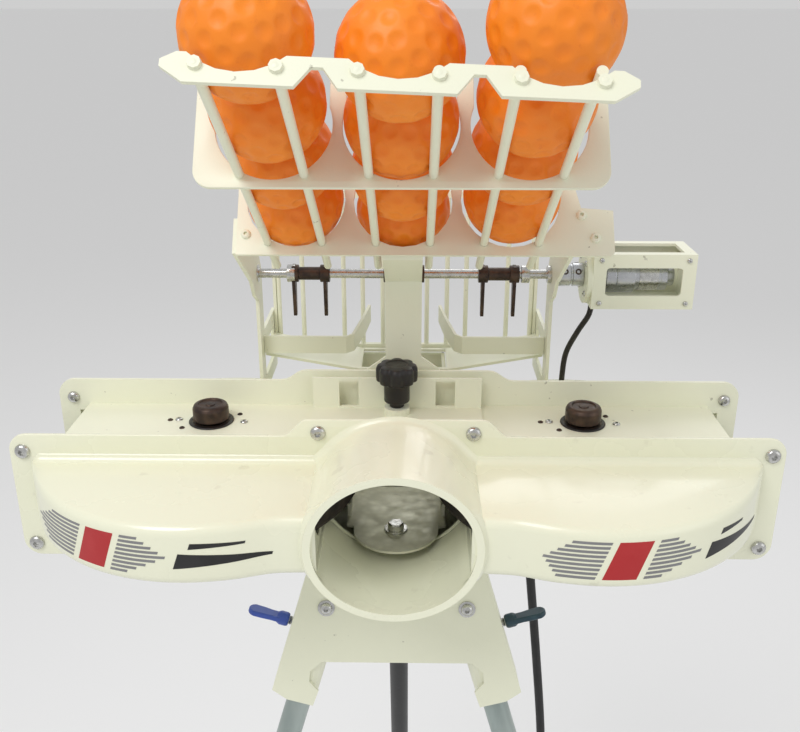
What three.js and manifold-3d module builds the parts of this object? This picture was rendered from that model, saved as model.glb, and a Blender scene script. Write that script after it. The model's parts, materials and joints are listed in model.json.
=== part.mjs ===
// Two-wheel ball bowling machine on a tripod, with a sloping three-row ball rack.
// Units are millimetres, +Z is up, +X is the machine's own left to right as seen from in front
// of the muzzle, and the balls leave along -Y. The tripod stands on Z = 0.
import * as THREE from 'three';
import * as BufferGeometryUtils from 'three/addons/utils/BufferGeometryUtils.js';
import Module from 'manifold-3d';

const wasm = await Module();
wasm.setup();

// ---------------------------------------------------------------- driving dimensions
const GAP = 0.3;                 // clearance between touching pieces
const SHEET = 3;                 // thickness of the folded steel sheet
const AXIS_HEIGHT = 1180;        // ball path above the floor
const HEAD_Y = -160.85;            // front cover flange, behind the origin's vertical

const BALL_R = 36.2;             // practice ball, 72 mm across
const BALL_PITCH = 72;
const WHEEL_X = 151;             // wheel axes, each side of the ball path
const WHEEL_Y = 37.5;
const TYRE_R = 121;
const TYRE_HALF = 20;
const RIM_R = 98;

const COVER_HALF = 302;          // front cover flange
const COVER_LOW = -62;
const COVER_TOP = 46;
const BULGE_R = 140;             // round swell of the covers over each wheel
const BULGE_HALF = 24;
const COVER_WALL = 2.6;
const MUZZLE_R = 58;
const MUZZLE_WALL = 5;
const MUZZLE_Y = -93;
const MUZZLE_OVAL = 1.1;         // the muzzle is a little wider than high
const NOSE_Y = -88;

const CHASSIS_HALF = 262;        // folded box that carries the motors
const CHASSIS_DEPTH = 75;
const CHASSIS_TOP = 40;
const CHASSIS_LOW = -60;
const REAR_HALF = 287;
const REAR_TOP = 62;

const RACK_X = 5;                // centre of the ball rack
const RACK_Y = 31.8;             // where the lower plate meets the rails
const RACK_Z = 189.9;
const RACK_SLOPE = THREE.MathUtils.degToRad(34.45);
const ROW_PITCH = 81;
const RAIL_OFFSET = 20.3;        // half the spacing of a row's two rails
const RAIL_R = 3;
const RAIL_END = 52;             // rail length behind the lower plate
const MID_PLATE = -118.7;
const TOP_PLATE = -243;
const TOP_ROLL = THREE.MathUtils.degToRad(2.8);
const TOP_DROP = 3.2;
const BALL_H = 34;               // ball centre above the rails
const ROWS = [
  { name: 'left', x: -ROW_PITCH, first: -4.5, finger: Math.PI },
  { name: 'mid', x: 0, first: 16.6, finger: 1.35 },
  { name: 'right', x: ROW_PITCH, first: -12.4, finger: Math.PI },
];                               // lowest ball down the rails, and how far its fingers are turned
const BALLS_PER_ROW = 4;

const SHAFT_Y = 120;             // feeder shaft
const SHAFT_Z = 141.6;
const SHAFT_R = 4;
const FINGER_R = 38;
const FINGER_OFFSET = 13.4;
const SIDE_X = 127;              // feeder side frames, from the rack centre

const YOKE_Y = 30;               // tripod head plate
const YOKE_Z = -98;
const YOKE_LEAN = -Math.atan(0.19);
const LEG_SPLAY = Math.atan(0.295);
const REAR_SPLAY = Math.atan(0.385);
const LEG_R = { left: 11, right: 11, rear: 9.5 };
const SOCKET_WALL = 2.6;
const SOCKET_PLAY = 0.4;
const SOCKET_DROP = 88;
const PIVOT_Y = 60;              // pan and tilt axes of the head
const PIVOT_Z = -80;

// ---------------------------------------------------------------- materials
const finish = (color, roughness, metalness) =>
  new THREE.MeshStandardMaterial({ color, roughness, metalness });
const cream = finish(0xe4e2cc, 0.35, 0);
const steel = finish(0xb4b6b4, 0.35, 0.9);
const tube = finish(0x8f9a98, 0.45, 0.7);
const blackTube = finish(0x141416, 0.5, 0.1);
const darkSteel = finish(0x4b3c36, 0.5, 0.7);
const rubber = finish(0x1c1816, 0.85, 0);
const blackPlastic = finish(0x17110f, 0.45, 0);
const orange = finish(0xf07818, 0.6, 0);
const bluePlastic = finish(0x4668c8, 0.4, 0);
const alloy = finish(0xc6c9cc, 0.3, 0.9);

// ---------------------------------------------------------------- geometry helpers
function bare(geometry) {
  const g = geometry.index ? geometry.toNonIndexed() : geometry.clone();
  g.deleteAttribute('normal');
  g.deleteAttribute('uv');
  return BufferGeometryUtils.mergeVertices(g, 1e-4);
}

function solid(geometry) {
  const g = bare(geometry);
  return new wasm.Manifold(new wasm.Mesh({
    numProp: 3,
    vertProperties: new Float32Array(g.attributes.position.array),
    triVerts: new Uint32Array(g.index.array),
  }));
}

function geometryOf(manifold) {
  const m = manifold.getMesh();
  const g = new THREE.BufferGeometry();
  g.setAttribute('position', new THREE.BufferAttribute(new Float32Array(m.vertProperties), 3));
  g.setIndex(new THREE.BufferAttribute(new Uint32Array(m.triVerts), 1));
  return g;
}

const join = (...parts) => geometryOf(parts.map(solid).reduce((a, b) => a.add(b)));

function cut(body, ...tools) {
  return geometryOf(tools.map(solid).reduce((a, b) => a.subtract(b), solid(body)));
}

// A block given by its lowest and highest corner.
function block(x0, y0, z0, x1, y1, z1) {
  return new THREE.BoxGeometry(x1 - x0, y1 - y0, z1 - z0)
    .translate((x0 + x1) / 2, (y0 + y1) / 2, (z0 + z1) / 2);
}

const TURN = { x: g => g.rotateZ(-Math.PI / 2), y: g => g, z: g => g.rotateX(Math.PI / 2) };

// A rod of radius r from low to high along one axis, through the point (a, b) of the other two.
function rod(axis, r, low, high, a, b, sides = 20) {
  const g = TURN[axis](new THREE.CylinderGeometry(r, r, high - low, sides));
  const mid = (low + high) / 2;
  const at = { x: [mid, a, b], y: [a, mid, b], z: [a, b, mid] }[axis];
  return g.translate(...at);
}

// A turned piece: profile points [radius, height], closed on the axis, standing along Z.
function turned(profile, sides = 32) {
  const points = profile.map(([r, h]) => new THREE.Vector2(r, h));
  return new THREE.LatheGeometry(points, sides).rotateX(Math.PI / 2);
}

function outline(points) {
  const shape = new THREE.Shape();
  points.forEach(([a, b], i) => (i ? shape.lineTo(a, b) : shape.moveTo(a, b)));
  shape.closePath();
  return shape;
}

function roundRect(a0, b0, a1, b1, r) {
  const s = new THREE.Shape();
  s.moveTo(a0 + r, b0);
  s.lineTo(a1 - r, b0).absarc(a1 - r, b0 + r, r, -Math.PI / 2, 0, false);
  s.lineTo(a1, b1 - r).absarc(a1 - r, b1 - r, r, 0, Math.PI / 2, false);
  s.lineTo(a0 + r, b1).absarc(a0 + r, b1 - r, r, Math.PI / 2, Math.PI, false);
  s.lineTo(a0, b0 + r).absarc(a0 + r, b0 + r, r, Math.PI, Math.PI * 1.5, false);
  return s;
}

const extrude = (shape, depth, curveSegments = 6) =>
  new THREE.ExtrudeGeometry(shape, { depth, bevelEnabled: false, curveSegments, steps: 1 });

// Plates cut from a drawn shape: in X-Z standing from y to y + t, in X-Y, or in Y-Z.
const plateXZ = (shape, y, t, seg) => extrude(shape, t, seg).rotateX(Math.PI / 2).translate(0, y + t, 0);
const plateXY = (shape, z, t, seg) => extrude(shape, t, seg).translate(0, 0, z);
const plateYZ = (shape, x, t, seg) =>
  extrude(shape, t, seg).rotateX(Math.PI / 2).rotateZ(Math.PI / 2).translate(x, 0, 0);

// A flat strip standing on edge along stations [x, y, low, high].
function ribbon(stations, t) {
  const position = [];
  const index = [];
  stations.forEach(([x, y, low, high], i) => {
    const before = stations[Math.max(i - 1, 0)];
    const after = stations[Math.min(i + 1, stations.length - 1)];
    const along = new THREE.Vector2(after[0] - before[0], after[1] - before[1]).normalize();
    const dx = -along.y * t / 2;
    const dy = along.x * t / 2;
    position.push(x - dx, y - dy, low, x + dx, y + dy, low, x + dx, y + dy, high, x - dx, y - dy, high);
  });
  const quad = (a, b, c, d) => index.push(a, b, c, a, c, d);
  for (let i = 0; i + 1 < stations.length; i += 1) {
    for (let k = 0; k < 4; k += 1) {
      const n = (k + 1) % 4;
      quad(4 * i + k, 4 * i + n, 4 * i + 4 + n, 4 * i + 4 + k);
    }
  }
  const last = 4 * (stations.length - 1);
  quad(3, 2, 1, 0);
  quad(last, last + 1, last + 2, last + 3);
  const g = new THREE.BufferGeometry();
  g.setAttribute('position', new THREE.BufferAttribute(new Float32Array(position), 3));
  g.setIndex(index);
  const m = solid(g);
  if (m.volume() > 0) return g;
  g.setIndex(index.reduce((all, v, i) => (i % 3 ? all : [...all, v, index[i + 2], index[i + 1]]), []));
  return g;
}

// A round tube solid along a smooth curve through the points.
function cable(points, r, steps, sides = 8) {
  const circle = new THREE.Shape();
  circle.absarc(0, 0, r, 0, Math.PI * 2, false);
  const curve = new THREE.CatmullRomCurve3(points.map(p => new THREE.Vector3(...p)), false, 'centripetal');
  const options = { steps, extrudePath: curve, curveSegments: sides / 2, bevelEnabled: false };
  return new THREE.ExtrudeGeometry(circle, options);
}

function piece(parent, name, geometry, material) {
  const mesh = new THREE.Mesh(geometry, material);
  mesh.name = name;
  parent.add(mesh);
  return mesh;
}

function place(parent, x, y, z) {
  const g = new THREE.Group();
  g.position.set(x, y, z);
  parent.add(g);
  return g;
}

const machine = new THREE.Group();
machine.name = 'bowling_machine';
const head = place(machine, 0, HEAD_Y, AXIS_HEIGHT);

// ---------------------------------------------------------------- covers and chassis
const mirrored = build => [build(-1), build(1)];

// Half a round swell around one wheel axis, on the side of the flange plane that sign gives.
function swell(side, sign, r, half) {
  const s = new THREE.Shape();
  const flange = sign < 0 ? WHEEL_Y : CHASSIS_DEPTH - WHEEL_Y;
  const angle = Math.asin(flange / r);
  s.absarc(0, 0, r, sign < 0 ? Math.PI + angle : angle, sign < 0 ? -angle : Math.PI - angle, false);
  s.closePath();
  return plateXY(s, -half, 2 * half, 10).translate(side * WHEEL_X, WHEEL_Y, 0);
}

function frontOutline() {
  const r = 14;
  const s = new THREE.Shape();
  s.moveTo(-COVER_HALF + r, COVER_LOW);
  s.lineTo(COVER_HALF - r, COVER_LOW);
  s.absarc(COVER_HALF - r, COVER_LOW + r, r, -Math.PI / 2, 0, false);
  s.lineTo(COVER_HALF, COVER_TOP - r);
  s.absarc(COVER_HALF - r, COVER_TOP - r, r, 0, Math.PI / 2, false);
  s.lineTo(88, COVER_TOP);
  s.bezierCurveTo(80, COVER_TOP, 78, 60, 68, 60);
  s.lineTo(-68, 60);
  s.bezierCurveTo(-78, 60, -80, COVER_TOP, -88, COVER_TOP);
  s.absarc(-COVER_HALF + r, COVER_TOP - r, r, Math.PI / 2, Math.PI, false);
  s.absarc(-COVER_HALF + r, COVER_LOW + r, r, Math.PI, Math.PI * 1.5, false);
  return s;
}

function frontCover() {
  const inner = BULGE_R - COVER_WALL;
  const bore = MUZZLE_R - MUZZLE_WALL;
  const outside = join(
    plateXZ(frontOutline(), -SHEET, SHEET),
    ...mirrored(side => swell(side, -1, BULGE_R, BULGE_HALF)),
    block(-96, NOSE_Y, -BULGE_HALF, 96, -0.5, BULGE_HALF),
    rod('y', MUZZLE_R, MUZZLE_Y, -0.2, 0, 0, 32).scale(MUZZLE_OVAL, 1, 1),
  );
  return cut(
    outside,
    ...mirrored(side => swell(side, -1, inner, BULGE_HALF - COVER_WALL).translate(0, 3, 0)),
    ...mirrored(side => swell(side, -1, inner, BULGE_HALF - COVER_WALL)),
    block(-98, NOSE_Y + COVER_WALL, -BULGE_HALF + COVER_WALL, 98, 1, BULGE_HALF - COVER_WALL),
    rod('y', bore, MUZZLE_Y - 5, 5, 0, 0, 32).scale(MUZZLE_OVAL, 1, 1),
  );
}

const screwHead = turned([[0, 0], [6, 0], [5.4, 2.6], [3, 3.6], [0, 3.6]], 12).rotateX(Math.PI / 2);
piece(head, 'front_cover', frontCover(), cream);
[['low_left', -291.5, -50.5], ['low_right', 291.5, -50.5], ['top_left', -291.5, 31.7],
  ['top_right', 291.5, 31.7]].forEach(([name, x, z]) => {
  piece(head, `cover_screw_${name}`, screwHead, steel).position.set(x, -SHEET - GAP, z);
});

function rearOutline(top) {
  const r = 14;
  const s = new THREE.Shape();
  s.moveTo(-REAR_HALF + r, COVER_LOW);
  s.lineTo(REAR_HALF - r, COVER_LOW);
  s.absarc(REAR_HALF - r, COVER_LOW + r, r, -Math.PI / 2, 0, false);
  s.lineTo(REAR_HALF, top - r);
  s.absarc(REAR_HALF - r, top - r, r, 0, Math.PI / 2, false);
  s.lineTo(98, top);
  s.bezierCurveTo(88, top, 86, top + 9, 76, top + 9);
  s.lineTo(-76, top + 9);
  s.bezierCurveTo(-86, top + 9, -88, top, -98, top);
  s.absarc(-REAR_HALF + r, top - r, r, Math.PI / 2, Math.PI, false);
  s.absarc(-REAR_HALF + r, COVER_LOW + r, r, Math.PI, Math.PI * 1.5, false);
  return s;
}

const WINDOW_HALF = 271;         // chassis windows that the wheels reach through
const BOSS_R = 17;               // motor boss hole in the top sheet
const BALL_WAY = 42;             // half-width of the ball's way through front and back

function chassis() {
  const back = CHASSIS_DEPTH - SHEET;
  const inside = CHASSIS_HALF - SHEET;
  const box = join(
    block(-CHASSIS_HALF, GAP, CHASSIS_LOW, CHASSIS_HALF, CHASSIS_DEPTH - 1, CHASSIS_TOP),
    block(-COVER_HALF + 6, GAP, CHASSIS_LOW, COVER_HALF - 6, GAP + SHEET, CHASSIS_TOP + 3),
    plateXZ(rearOutline(REAR_TOP), back, SHEET),
  );
  return cut(
    box,
    block(-inside, GAP + SHEET, CHASSIS_LOW + SHEET, inside, back, CHASSIS_TOP - SHEET),
    block(-WINDOW_HALF, -5, CHASSIS_LOW + 10, WINDOW_HALF, 2 * SHEET, CHASSIS_TOP - 6),
    block(-WINDOW_HALF, back - 1, CHASSIS_LOW + 10, WINDOW_HALF, 90, CHASSIS_TOP - 6),
    block(-WINDOW_HALF, SHEET, -TYRE_HALF - 3, WINDOW_HALF, back, TYRE_HALF + 3),
    block(-BALL_WAY, -5, CHASSIS_LOW + 10, BALL_WAY, 90, CHASSIS_TOP - SHEET),
    ...mirrored(side => rod('z', BOSS_R, 20, 50, side * WHEEL_X, WHEEL_Y, 24)),
  );
}

const TROUGH_HALF = 44;
const TROUGH_BACK = 196;
const TROUGH_LOW = -42;
const TROUGH_FLOOR = -37.5;

function rearCover() {
  const face = CHASSIS_DEPTH + GAP;
  const inner = BULGE_R - COVER_WALL;
  const outside = join(
    plateXZ(rearOutline(REAR_TOP - 4), face, SHEET),
    ...mirrored(side => swell(side, 1, BULGE_R, BULGE_HALF).translate(0, 1, 0)),
    block(-96, face + 1, -BULGE_HALF, 96, 150, BULGE_HALF),
    block(-TROUGH_HALF, face + 1, TROUGH_LOW, TROUGH_HALF, TROUGH_BACK, -TROUGH_LOW),
  );
  return cut(
    outside,
    ...mirrored(side => swell(side, 1, inner, BULGE_HALF - COVER_WALL).translate(0, -2, 0)),
    ...mirrored(side => swell(side, 1, inner, BULGE_HALF - COVER_WALL)),
    block(-98, 70, -BULGE_HALF + COVER_WALL, 98, 150 - COVER_WALL, BULGE_HALF - COVER_WALL),
    block(-TROUGH_HALF + 4, 70, TROUGH_FLOOR, TROUGH_HALF - 4, TROUGH_BACK - 4, -TROUGH_LOW - 3),
    block(-TROUGH_HALF + 4, 104, TROUGH_FLOOR, TROUGH_HALF - 4, TROUGH_BACK - 4, -TROUGH_LOW + 5),
  );
}

piece(head, 'chassis', chassis(), cream);
piece(head, 'rear_cover', rearCover(), cream);

// The floor between the wheels that the ball rolls over, with a round front lip.
function ballGuide() {
  const lip = 34;
  const s = new THREE.Shape();
  s.moveTo(40, 70);
  s.lineTo(-40, 70);
  s.lineTo(-40, 6);
  s.lineTo(-lip, 4);
  s.absarc(0, 0, lip, Math.PI, Math.PI * 2, false);
  s.lineTo(lip, 4);
  s.lineTo(40, 6);
  return join(
    plateXY(s, TROUGH_FLOOR - 2, 2, 10),
    block(-40, 20, TROUGH_FLOOR - 1, -37, 70, -26),
    block(37, 20, TROUGH_FLOOR - 1, 40, 70, -26),
    rod('z', 6.5, TROUGH_FLOOR - 1, TROUGH_FLOOR + 4.5, 0, 0, 16),
    block(-30, 24, -57 + GAP, 30, 60, -55),
    block(-30, 24, -56, -28, 60, TROUGH_FLOOR - 1),
    block(28, 24, -56, 30, 60, TROUGH_FLOOR - 1),
  );
}
piece(head, 'ball_guide', ballGuide(), steel);

// ---------------------------------------------------------------- centre bracket and its knob
const HOOD_Y = 60;
const KNOB_Y = 49;
const KNOB_BASE = 49;

function hood() {
  const low = CHASSIS_TOP + GAP;
  const body = join(
    block(-70, HOOD_Y, low, 70, HOOD_Y + 2.5, 69),
    block(-70, 26, low, 70, HOOD_Y + 1, low + 2.5),
    rod('z', 10.5, low + 1, KNOB_BASE, 0, KNOB_Y, 16),
  );
  return cut(body, ...mirrored(side => block(side * 40 - 8, 50, 44, side * 40 + 8, 80, 66.5)));
}
piece(head, 'centre_bracket', hood(), cream);

const knob = turned(
  [[0, 0], [6, 0], [6, 4], [10.5, 5], [10.5, 20], [17, 21.5], [17, 34], [14.5, 37], [0, 37]],
  16,
);
piece(head, 'guide_clamp_knob', knob, blackPlastic).position.set(0, KNOB_Y, KNOB_BASE + GAP);

// ---------------------------------------------------------------- wheels and motors
mirrored(side => {
  const name = side < 0 ? 'left' : 'right';
  const at = place(head, side * WHEEL_X, WHEEL_Y, 0);
  const crown = [[RIM_R + GAP, -TYRE_HALF], [114, -TYRE_HALF], [TYRE_R, -12], [TYRE_R, 12], [114, TYRE_HALF],
    [RIM_R + GAP, TYRE_HALF], [RIM_R + GAP, -TYRE_HALF]];
  piece(at, `tyre_${name}`, turned(crown, 28), rubber);
  const rim = [[0, -18], [RIM_R, -18], [RIM_R, 18], [RIM_R - 5, 18], [RIM_R - 5, -13], [20, -13], [20, -6],
    [0, -6]];
  const bore = rod('z', 7 + GAP, -30, 0, 0, 0, 16);
  piece(at, `rim_${name}`, cut(turned(rim, 28), bore), alloy);
  const spindle = [[0, -24], [7, -24], [7, 42], [14.5, 43], [14.5, 53], [13, 56], [0, 56]];
  piece(at, `spindle_${name}`, turned(spindle, 16), darkSteel);
  const motor = [[0, -4], [38, -4], [42, 0], [42, 20], [33.5, 20], [33.5, 36.6],
    [BOSS_R - GAP, 36.6], [BOSS_R - GAP, 41], [0, 41]];
  const hole = rod('z', 7 + GAP, -10, 60, 0, 0, 16);
  piece(at, `drive_motor_${name}`, cut(turned(motor, 20), hole), darkSteel);
  return at;
});

// ---------------------------------------------------------------- ball rack
const rack = place(head, RACK_X, RACK_Y, RACK_Z);
rack.rotation.x = -RACK_SLOPE;

const ROW_X = ROWS.map(row => row.x);
const RAIL_X = ROW_X.flatMap(x => [x - RAIL_OFFSET, x + RAIL_OFFSET]);
const NOTCH_R = 37.4;

// The scoops that a plate leaves for the balls of the three rows, open at the top.
const scoops = (y, r, top) => ROW_X.flatMap(x => [
  rod('y', r, y - 9, y + 9, x, BALL_H, 24),
  block(x - r * 0.94, y - 9, BALL_H, x + r * 0.94, y + 9, top),
]);

function midPlate() {
  const body = plateXZ(roundRect(-131, -9, 131, 74, 12), MID_PLATE - SHEET / 2, SHEET);
  const open = cut(body, ...scoops(MID_PLATE, NOTCH_R, 90));
  const rails = RAIL_X.map(x => rod('y', RAIL_R, TOP_PLATE + SHEET / 2 + GAP, RAIL_END, x, 0, 8));
  return join(open, ...rails);
}

function lowPlate() {
  const s = outline([
    [-125, -10], [155, -10], [158, -7], [158, 26],
    [134, 28], [126, 60], [-119, 60], [-125, 52],
  ]);
  return cut(
    plateXZ(s, -SHEET / 2, SHEET),
    ...scoops(0, NOTCH_R, 90),
    ...RAIL_X.map(x => rod('y', RAIL_R + GAP, -9, 9, x, 0, 8)),
  );
}

function topPlate() {
  const low = -10;
  const high = 6.5;
  const notch = [[-11, low], [-3, 1], [3, 1], [11, low]];
  const shift = (points, dx) => points.map(([x, z]) => [x + dx, z]);
  const s = outline([
    [-107, low], ...shift(notch, -ROW_PITCH / 2), ...shift(notch, ROW_PITCH / 2), [107, low],
    [119, -2], [119, 2], [111, high], [-111, high], [-119, 2], [-119, -2],
  ]);
  const dips = ROW_X.map(x => rod('y', NOTCH_R, TOP_PLATE - 9, TOP_PLATE + 9, x, BALL_H, 24));
  const body = cut(plateXZ(s, TOP_PLATE - SHEET / 2, SHEET), ...dips);
  const front = TOP_PLATE - SHEET / 2;
  return join(body, ...RAIL_X.map(x => rod('y', 3.6, front - 2.4, front + 0.5, x, 0, 8)));
}

piece(rack, 'rack_rails', midPlate(), cream);
piece(rack, 'rack_low_plate', lowPlate(), cream);
// The top plate sits a little rolled and low on the rail ends.
const topPlateMesh = piece(rack, 'rack_top_plate', topPlate(), cream);
topPlateMesh.rotation.y = TOP_ROLL;
topPlateMesh.position.z = -TOP_DROP;

ROWS.forEach(row => {
  const balls = Array.from({ length: BALLS_PER_ROW }, (_, i) =>
    new THREE.SphereGeometry(BALL_R, 10, 8).translate(row.x, row.first - BALL_PITCH * i, BALL_H));
  piece(rack, `ball_row_${row.name}`, join(...balls), orange);
});

// ---------------------------------------------------------------- feeder
const feeder = place(head, RACK_X, 0, 0);

// A point under the rack, s up the rails and h above them, as [y, z].
function track(s, h) {
  const c = Math.cos(RACK_SLOPE);
  const t = Math.sin(RACK_SLOPE);
  return [RACK_Y - s * c + h * t, RACK_Z + s * t + h * c];
}

function post() {
  const front = CHASSIS_DEPTH + GAP + SHEET + GAP;
  const back = front + SHEET;
  const under = track(-52, -6);
  const top = track(-1.5 - GAP, -9);
  const lift = SHEET / Math.cos(RACK_SLOPE);
  const side = outline([
    [front, 62], [back, 62], [back, under[1] - 8], [under[0] + 1, under[1]],
    [top[0], top[1]], [top[0], top[1] - lift], [front, under[1] - 9],
  ]);
  const foot = outline([[-36, 62], [36, 62], [30, 70], [15, 81], [-15, 81], [-30, 70]]);
  return join(plateYZ(side, -15, 30), plateXZ(foot, front, SHEET));
}

function sideFrame() {
  const a = track(-1.5 - GAP, -8);
  const b = track(-1.5 - GAP, 20);
  const s = outline([a, b, [96, 170], [128, 158], [138, 141.6], [138, 84], [204, 84], [204, 26], [118, 26],
    [118, 118], [104, 126], [92, 142]]);
  const window = roundRect(136, 40, 190, 70, 4);
  const hole = rod('x', SHAFT_R + GAP, -10, 10, SHAFT_Y, SHAFT_Z, 16);
  return cut(plateYZ(s, -SHEET / 2, SHEET), plateYZ(window, -9, 18), hole);
}

piece(feeder, 'feeder_post', post(), cream);
piece(feeder, 'side_frame_left', sideFrame(), cream).position.x = -SIDE_X;
piece(feeder, 'side_frame_right', sideFrame(), cream).position.x = SIDE_X;

// The funnel under the feeder: two floors that slope to a middle hole over the trough.
function dropTray() {
  const outer = SIDE_X - SHEET / 2 - GAP;
  const t = 2.5;
  const s = outline([
    [-outer, 60], [-outer, 60 + t], [-41, 45 + t], [41, 45 + t],
    [outer, 60 + t], [outer, 60], [41, 45], [-41, 45],
  ]);
  const floor = plateXZ(s, 137, 55);
  return cut(floor, block(-39, 141, 30, 39, 188, 70));
}
piece(feeder, 'drop_tray', dropTray(), cream);

mirrored(side => {
  const t = 2.5;
  const outer = SIDE_X - SHEET / 2 - GAP;
  const fence = ribbon([[side * outer, 133, 64, 80], [side * 52, 133, 64, 80], [side * 46, 137, 65, 81],
    [side * 38, 160, 71, 89], [side * 33, 182, 78, 94]], t);
  const name = side < 0 ? 'left' : 'right';
  piece(feeder, `deflector_${name}`, fence, cream);
  return fence;
});

// Wire guard behind the drop, welded to a bar at each end.
function rearGuard() {
  const y = 198;
  const outer = SIDE_X - SHEET / 2 - GAP;
  const wires = [21, 40, 58, 97, 120].flatMap(x => [-x, x]).map(x => rod('z', 2, 48, 196, x, y, 6));
  return join(
    block(-outer, y - 2.5, 44, outer, y + 2.5, 50),
    block(-outer, y - 2.5, 192, outer, y + 2.5, 198),
    block(-outer, y - 2.5, 44, -outer + 3, y + 2.5, 198),
    block(outer - 3, y - 2.5, 44, outer, y + 2.5, 198),
    ...wires,
  );
}
piece(feeder, 'rear_guard', rearGuard(), cream);

const COUPLING_X = 132;          // from the rack centre
const MOUNT_X = 153;
const HOUSING_X = 157;
const HOUSING_END = 242;
const HOUSING_HALF = 23.5;

piece(feeder, 'feed_shaft', rod('x', SHAFT_R, -SIDE_X - 7, COUPLING_X + 8, SHAFT_Y, SHAFT_Z, 12), steel);

// Two blades on a sleeve, one each side of a row's middle.
function fingers() {
  const blade = side => {
    const s = outline([[-5, -8], [5, -8], [6, 8], [2.2, FINGER_R], [-2.2, FINGER_R], [-6, 8]]);
    return plateYZ(s, side * FINGER_OFFSET - 1.5, 3);
  };
  const collar = side => rod('x', 7.5, side * FINGER_OFFSET - 4, side * FINGER_OFFSET + 4, 0, 0, 12);
  const sleeve = rod('x', 5.6, -FINGER_OFFSET, FINGER_OFFSET, 0, 0, 12);
  const body = join(sleeve, ...mirrored(collar), ...mirrored(blade));
  return cut(body, rod('x', SHAFT_R + GAP, -40, 40, 0, 0, 12));
}
ROWS.forEach(row => {
  const f = piece(feeder, `feed_fingers_${row.name}`, fingers(), darkSteel);
  f.position.set(row.x, SHAFT_Y, SHAFT_Z);
  f.rotation.x = row.finger;
});

const coupling = cut(
  join(
    rod('x', 10, COUPLING_X, MOUNT_X - GAP, SHAFT_Y, SHAFT_Z, 16),
    rod('x', 5, MOUNT_X - 2, HOUSING_X + 3, SHAFT_Y, SHAFT_Z, 12),
  ),
  rod('x', SHAFT_R + GAP, COUPLING_X - 5, COUPLING_X + 9, SHAFT_Y, SHAFT_Z, 12),
  block(COUPLING_X - 5, SHAFT_Y - 1, SHAFT_Z - 20, MOUNT_X - 10, SHAFT_Y + 1, SHAFT_Z - 3),
);
piece(feeder, 'shaft_coupling', coupling, alloy);

function motorHousing() {
  const [y, z, h] = [SHAFT_Y, SHAFT_Z, HOUSING_HALF];
  const w = 2.5;
  return cut(
    join(
      block(HOUSING_X, y - h, z - h, HOUSING_END, y + h, z + h),
      rod('x', 24, MOUNT_X, HOUSING_X + 1, y, z, 28),
    ),
    block(HOUSING_X + w, y - h + w, z - h + w, HOUSING_END - w, y + h - w, z + h - w),
    plateXZ(roundRect(HOUSING_X + 11, z - 12, HOUSING_END - 11, z + 12, 3), y - h - 5, 2 * h + 10, 2),
    block(HOUSING_X + 9, y - h + 8, z, HOUSING_END - 9, y + h - 8, z + h + 5),
    rod('x', 9, MOUNT_X - 5, HOUSING_X + 8, y, z, 16),
  );
}
piece(feeder, 'feed_motor_housing', motorHousing(), cream);

const feedMotor = turned(
  [[0, 0], [8.5, 0], [8.5, 6], [15, 6], [15, 34], [12.5, 34], [12.5, 62], [9, 62], [9, 68], [0, 68]],
  16,
).rotateY(Math.PI / 2);
piece(feeder, 'feed_gear_motor', feedMotor, alloy).position.set(HOUSING_X + 3.5, SHAFT_Y, SHAFT_Z);

const FEED_LEAD = [
  [162, 120, 117.5], [161, 121, 106], [153, 126, 88],
  [145, 131, 66], [143, 132, 44], [143, 132, 24.6],
];
piece(feeder, 'feed_motor_lead', cable(FEED_LEAD, 2.5, 14), blackPlastic);

// ---------------------------------------------------------------- controls under the trough
const BOX = { x: 56, front: 124, back: 190, low: -96, high: TROUGH_LOW - GAP };

function controlBox() {
  const w = 3;
  const body = extrude(roundRect(BOX.front, BOX.low, BOX.back, BOX.high, 4), 2 * BOX.x, 2)
    .rotateX(Math.PI / 2).rotateZ(Math.PI / 2).translate(-BOX.x, 0, 0);
  return cut(
    body,
    block(-BOX.x + w, BOX.front + w, BOX.low + w, BOX.x - w, BOX.back - w, BOX.high - w),
    ...mirrored(side => rod('y', 4.3, BOX.back - 5, BOX.back + 5, side * 36, -72, 16)),
    block(-11, BOX.back - 5, -82, 11, BOX.back + 5, -62),
    rod('x', 5.3, BOX.x - 5, BOX.x + 5, 150, -75, 16),
  );
}
piece(head, 'control_box', controlBox(), blackPlastic);

const dial = turned(
  [[0, -6], [4, -6], [4, GAP], [15, GAP], [14, 15], [12.5, 17], [0, 17]],
  16,
).rotateX(-Math.PI / 2);
mirrored(side => {
  const d = piece(head, `speed_dial_${side < 0 ? 'left' : 'right'}`, dial, blackPlastic);
  d.position.set(side * 36, BOX.back, -72);
  return d;
});
const ROCKER_OFF = THREE.MathUtils.degToRad(-7);
const rocker = outline([[-9.5, 0], [9.5, 0], [9.5, 5.5], [0, 3.2], [-9.5, 5.5]]);
const rockerBody = join(
  plateYZ(rocker, -10.5, 21).rotateX(-Math.PI / 2),
  block(-10.5, -2, -9.5, 10.5, 0.5, 9.5),
);
const rockerMesh = piece(head, 'power_switch', rockerBody, blackPlastic);
rockerMesh.position.set(0, BOX.back + 0.2, -72);
rockerMesh.rotation.x = ROCKER_OFF;

// ---------------------------------------------------------------- pan and tilt joint
function tiltBracket() {
  const base = CHASSIS_LOW - GAP;
  const body = join(
    block(-34, 36, base - SHEET, 34, 71.5, base),
    ...mirrored(side => block(side * 19 - 2, 47, -94, side * 19 + 2, 71.5, base - 1)),
  );
  return cut(body, rod('x', 5.2, -40, 40, PIVOT_Y, PIVOT_Z, 16));
}
piece(head, 'tilt_bracket', tiltBracket(), steel);
piece(head, 'tilt_pin', turned([[0, -26], [5, -26], [5, 22], [9, 22], [9, 28], [0, 28]], 16)
  .rotateY(Math.PI / 2).translate(0, PIVOT_Y, PIVOT_Z), steel);

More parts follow.
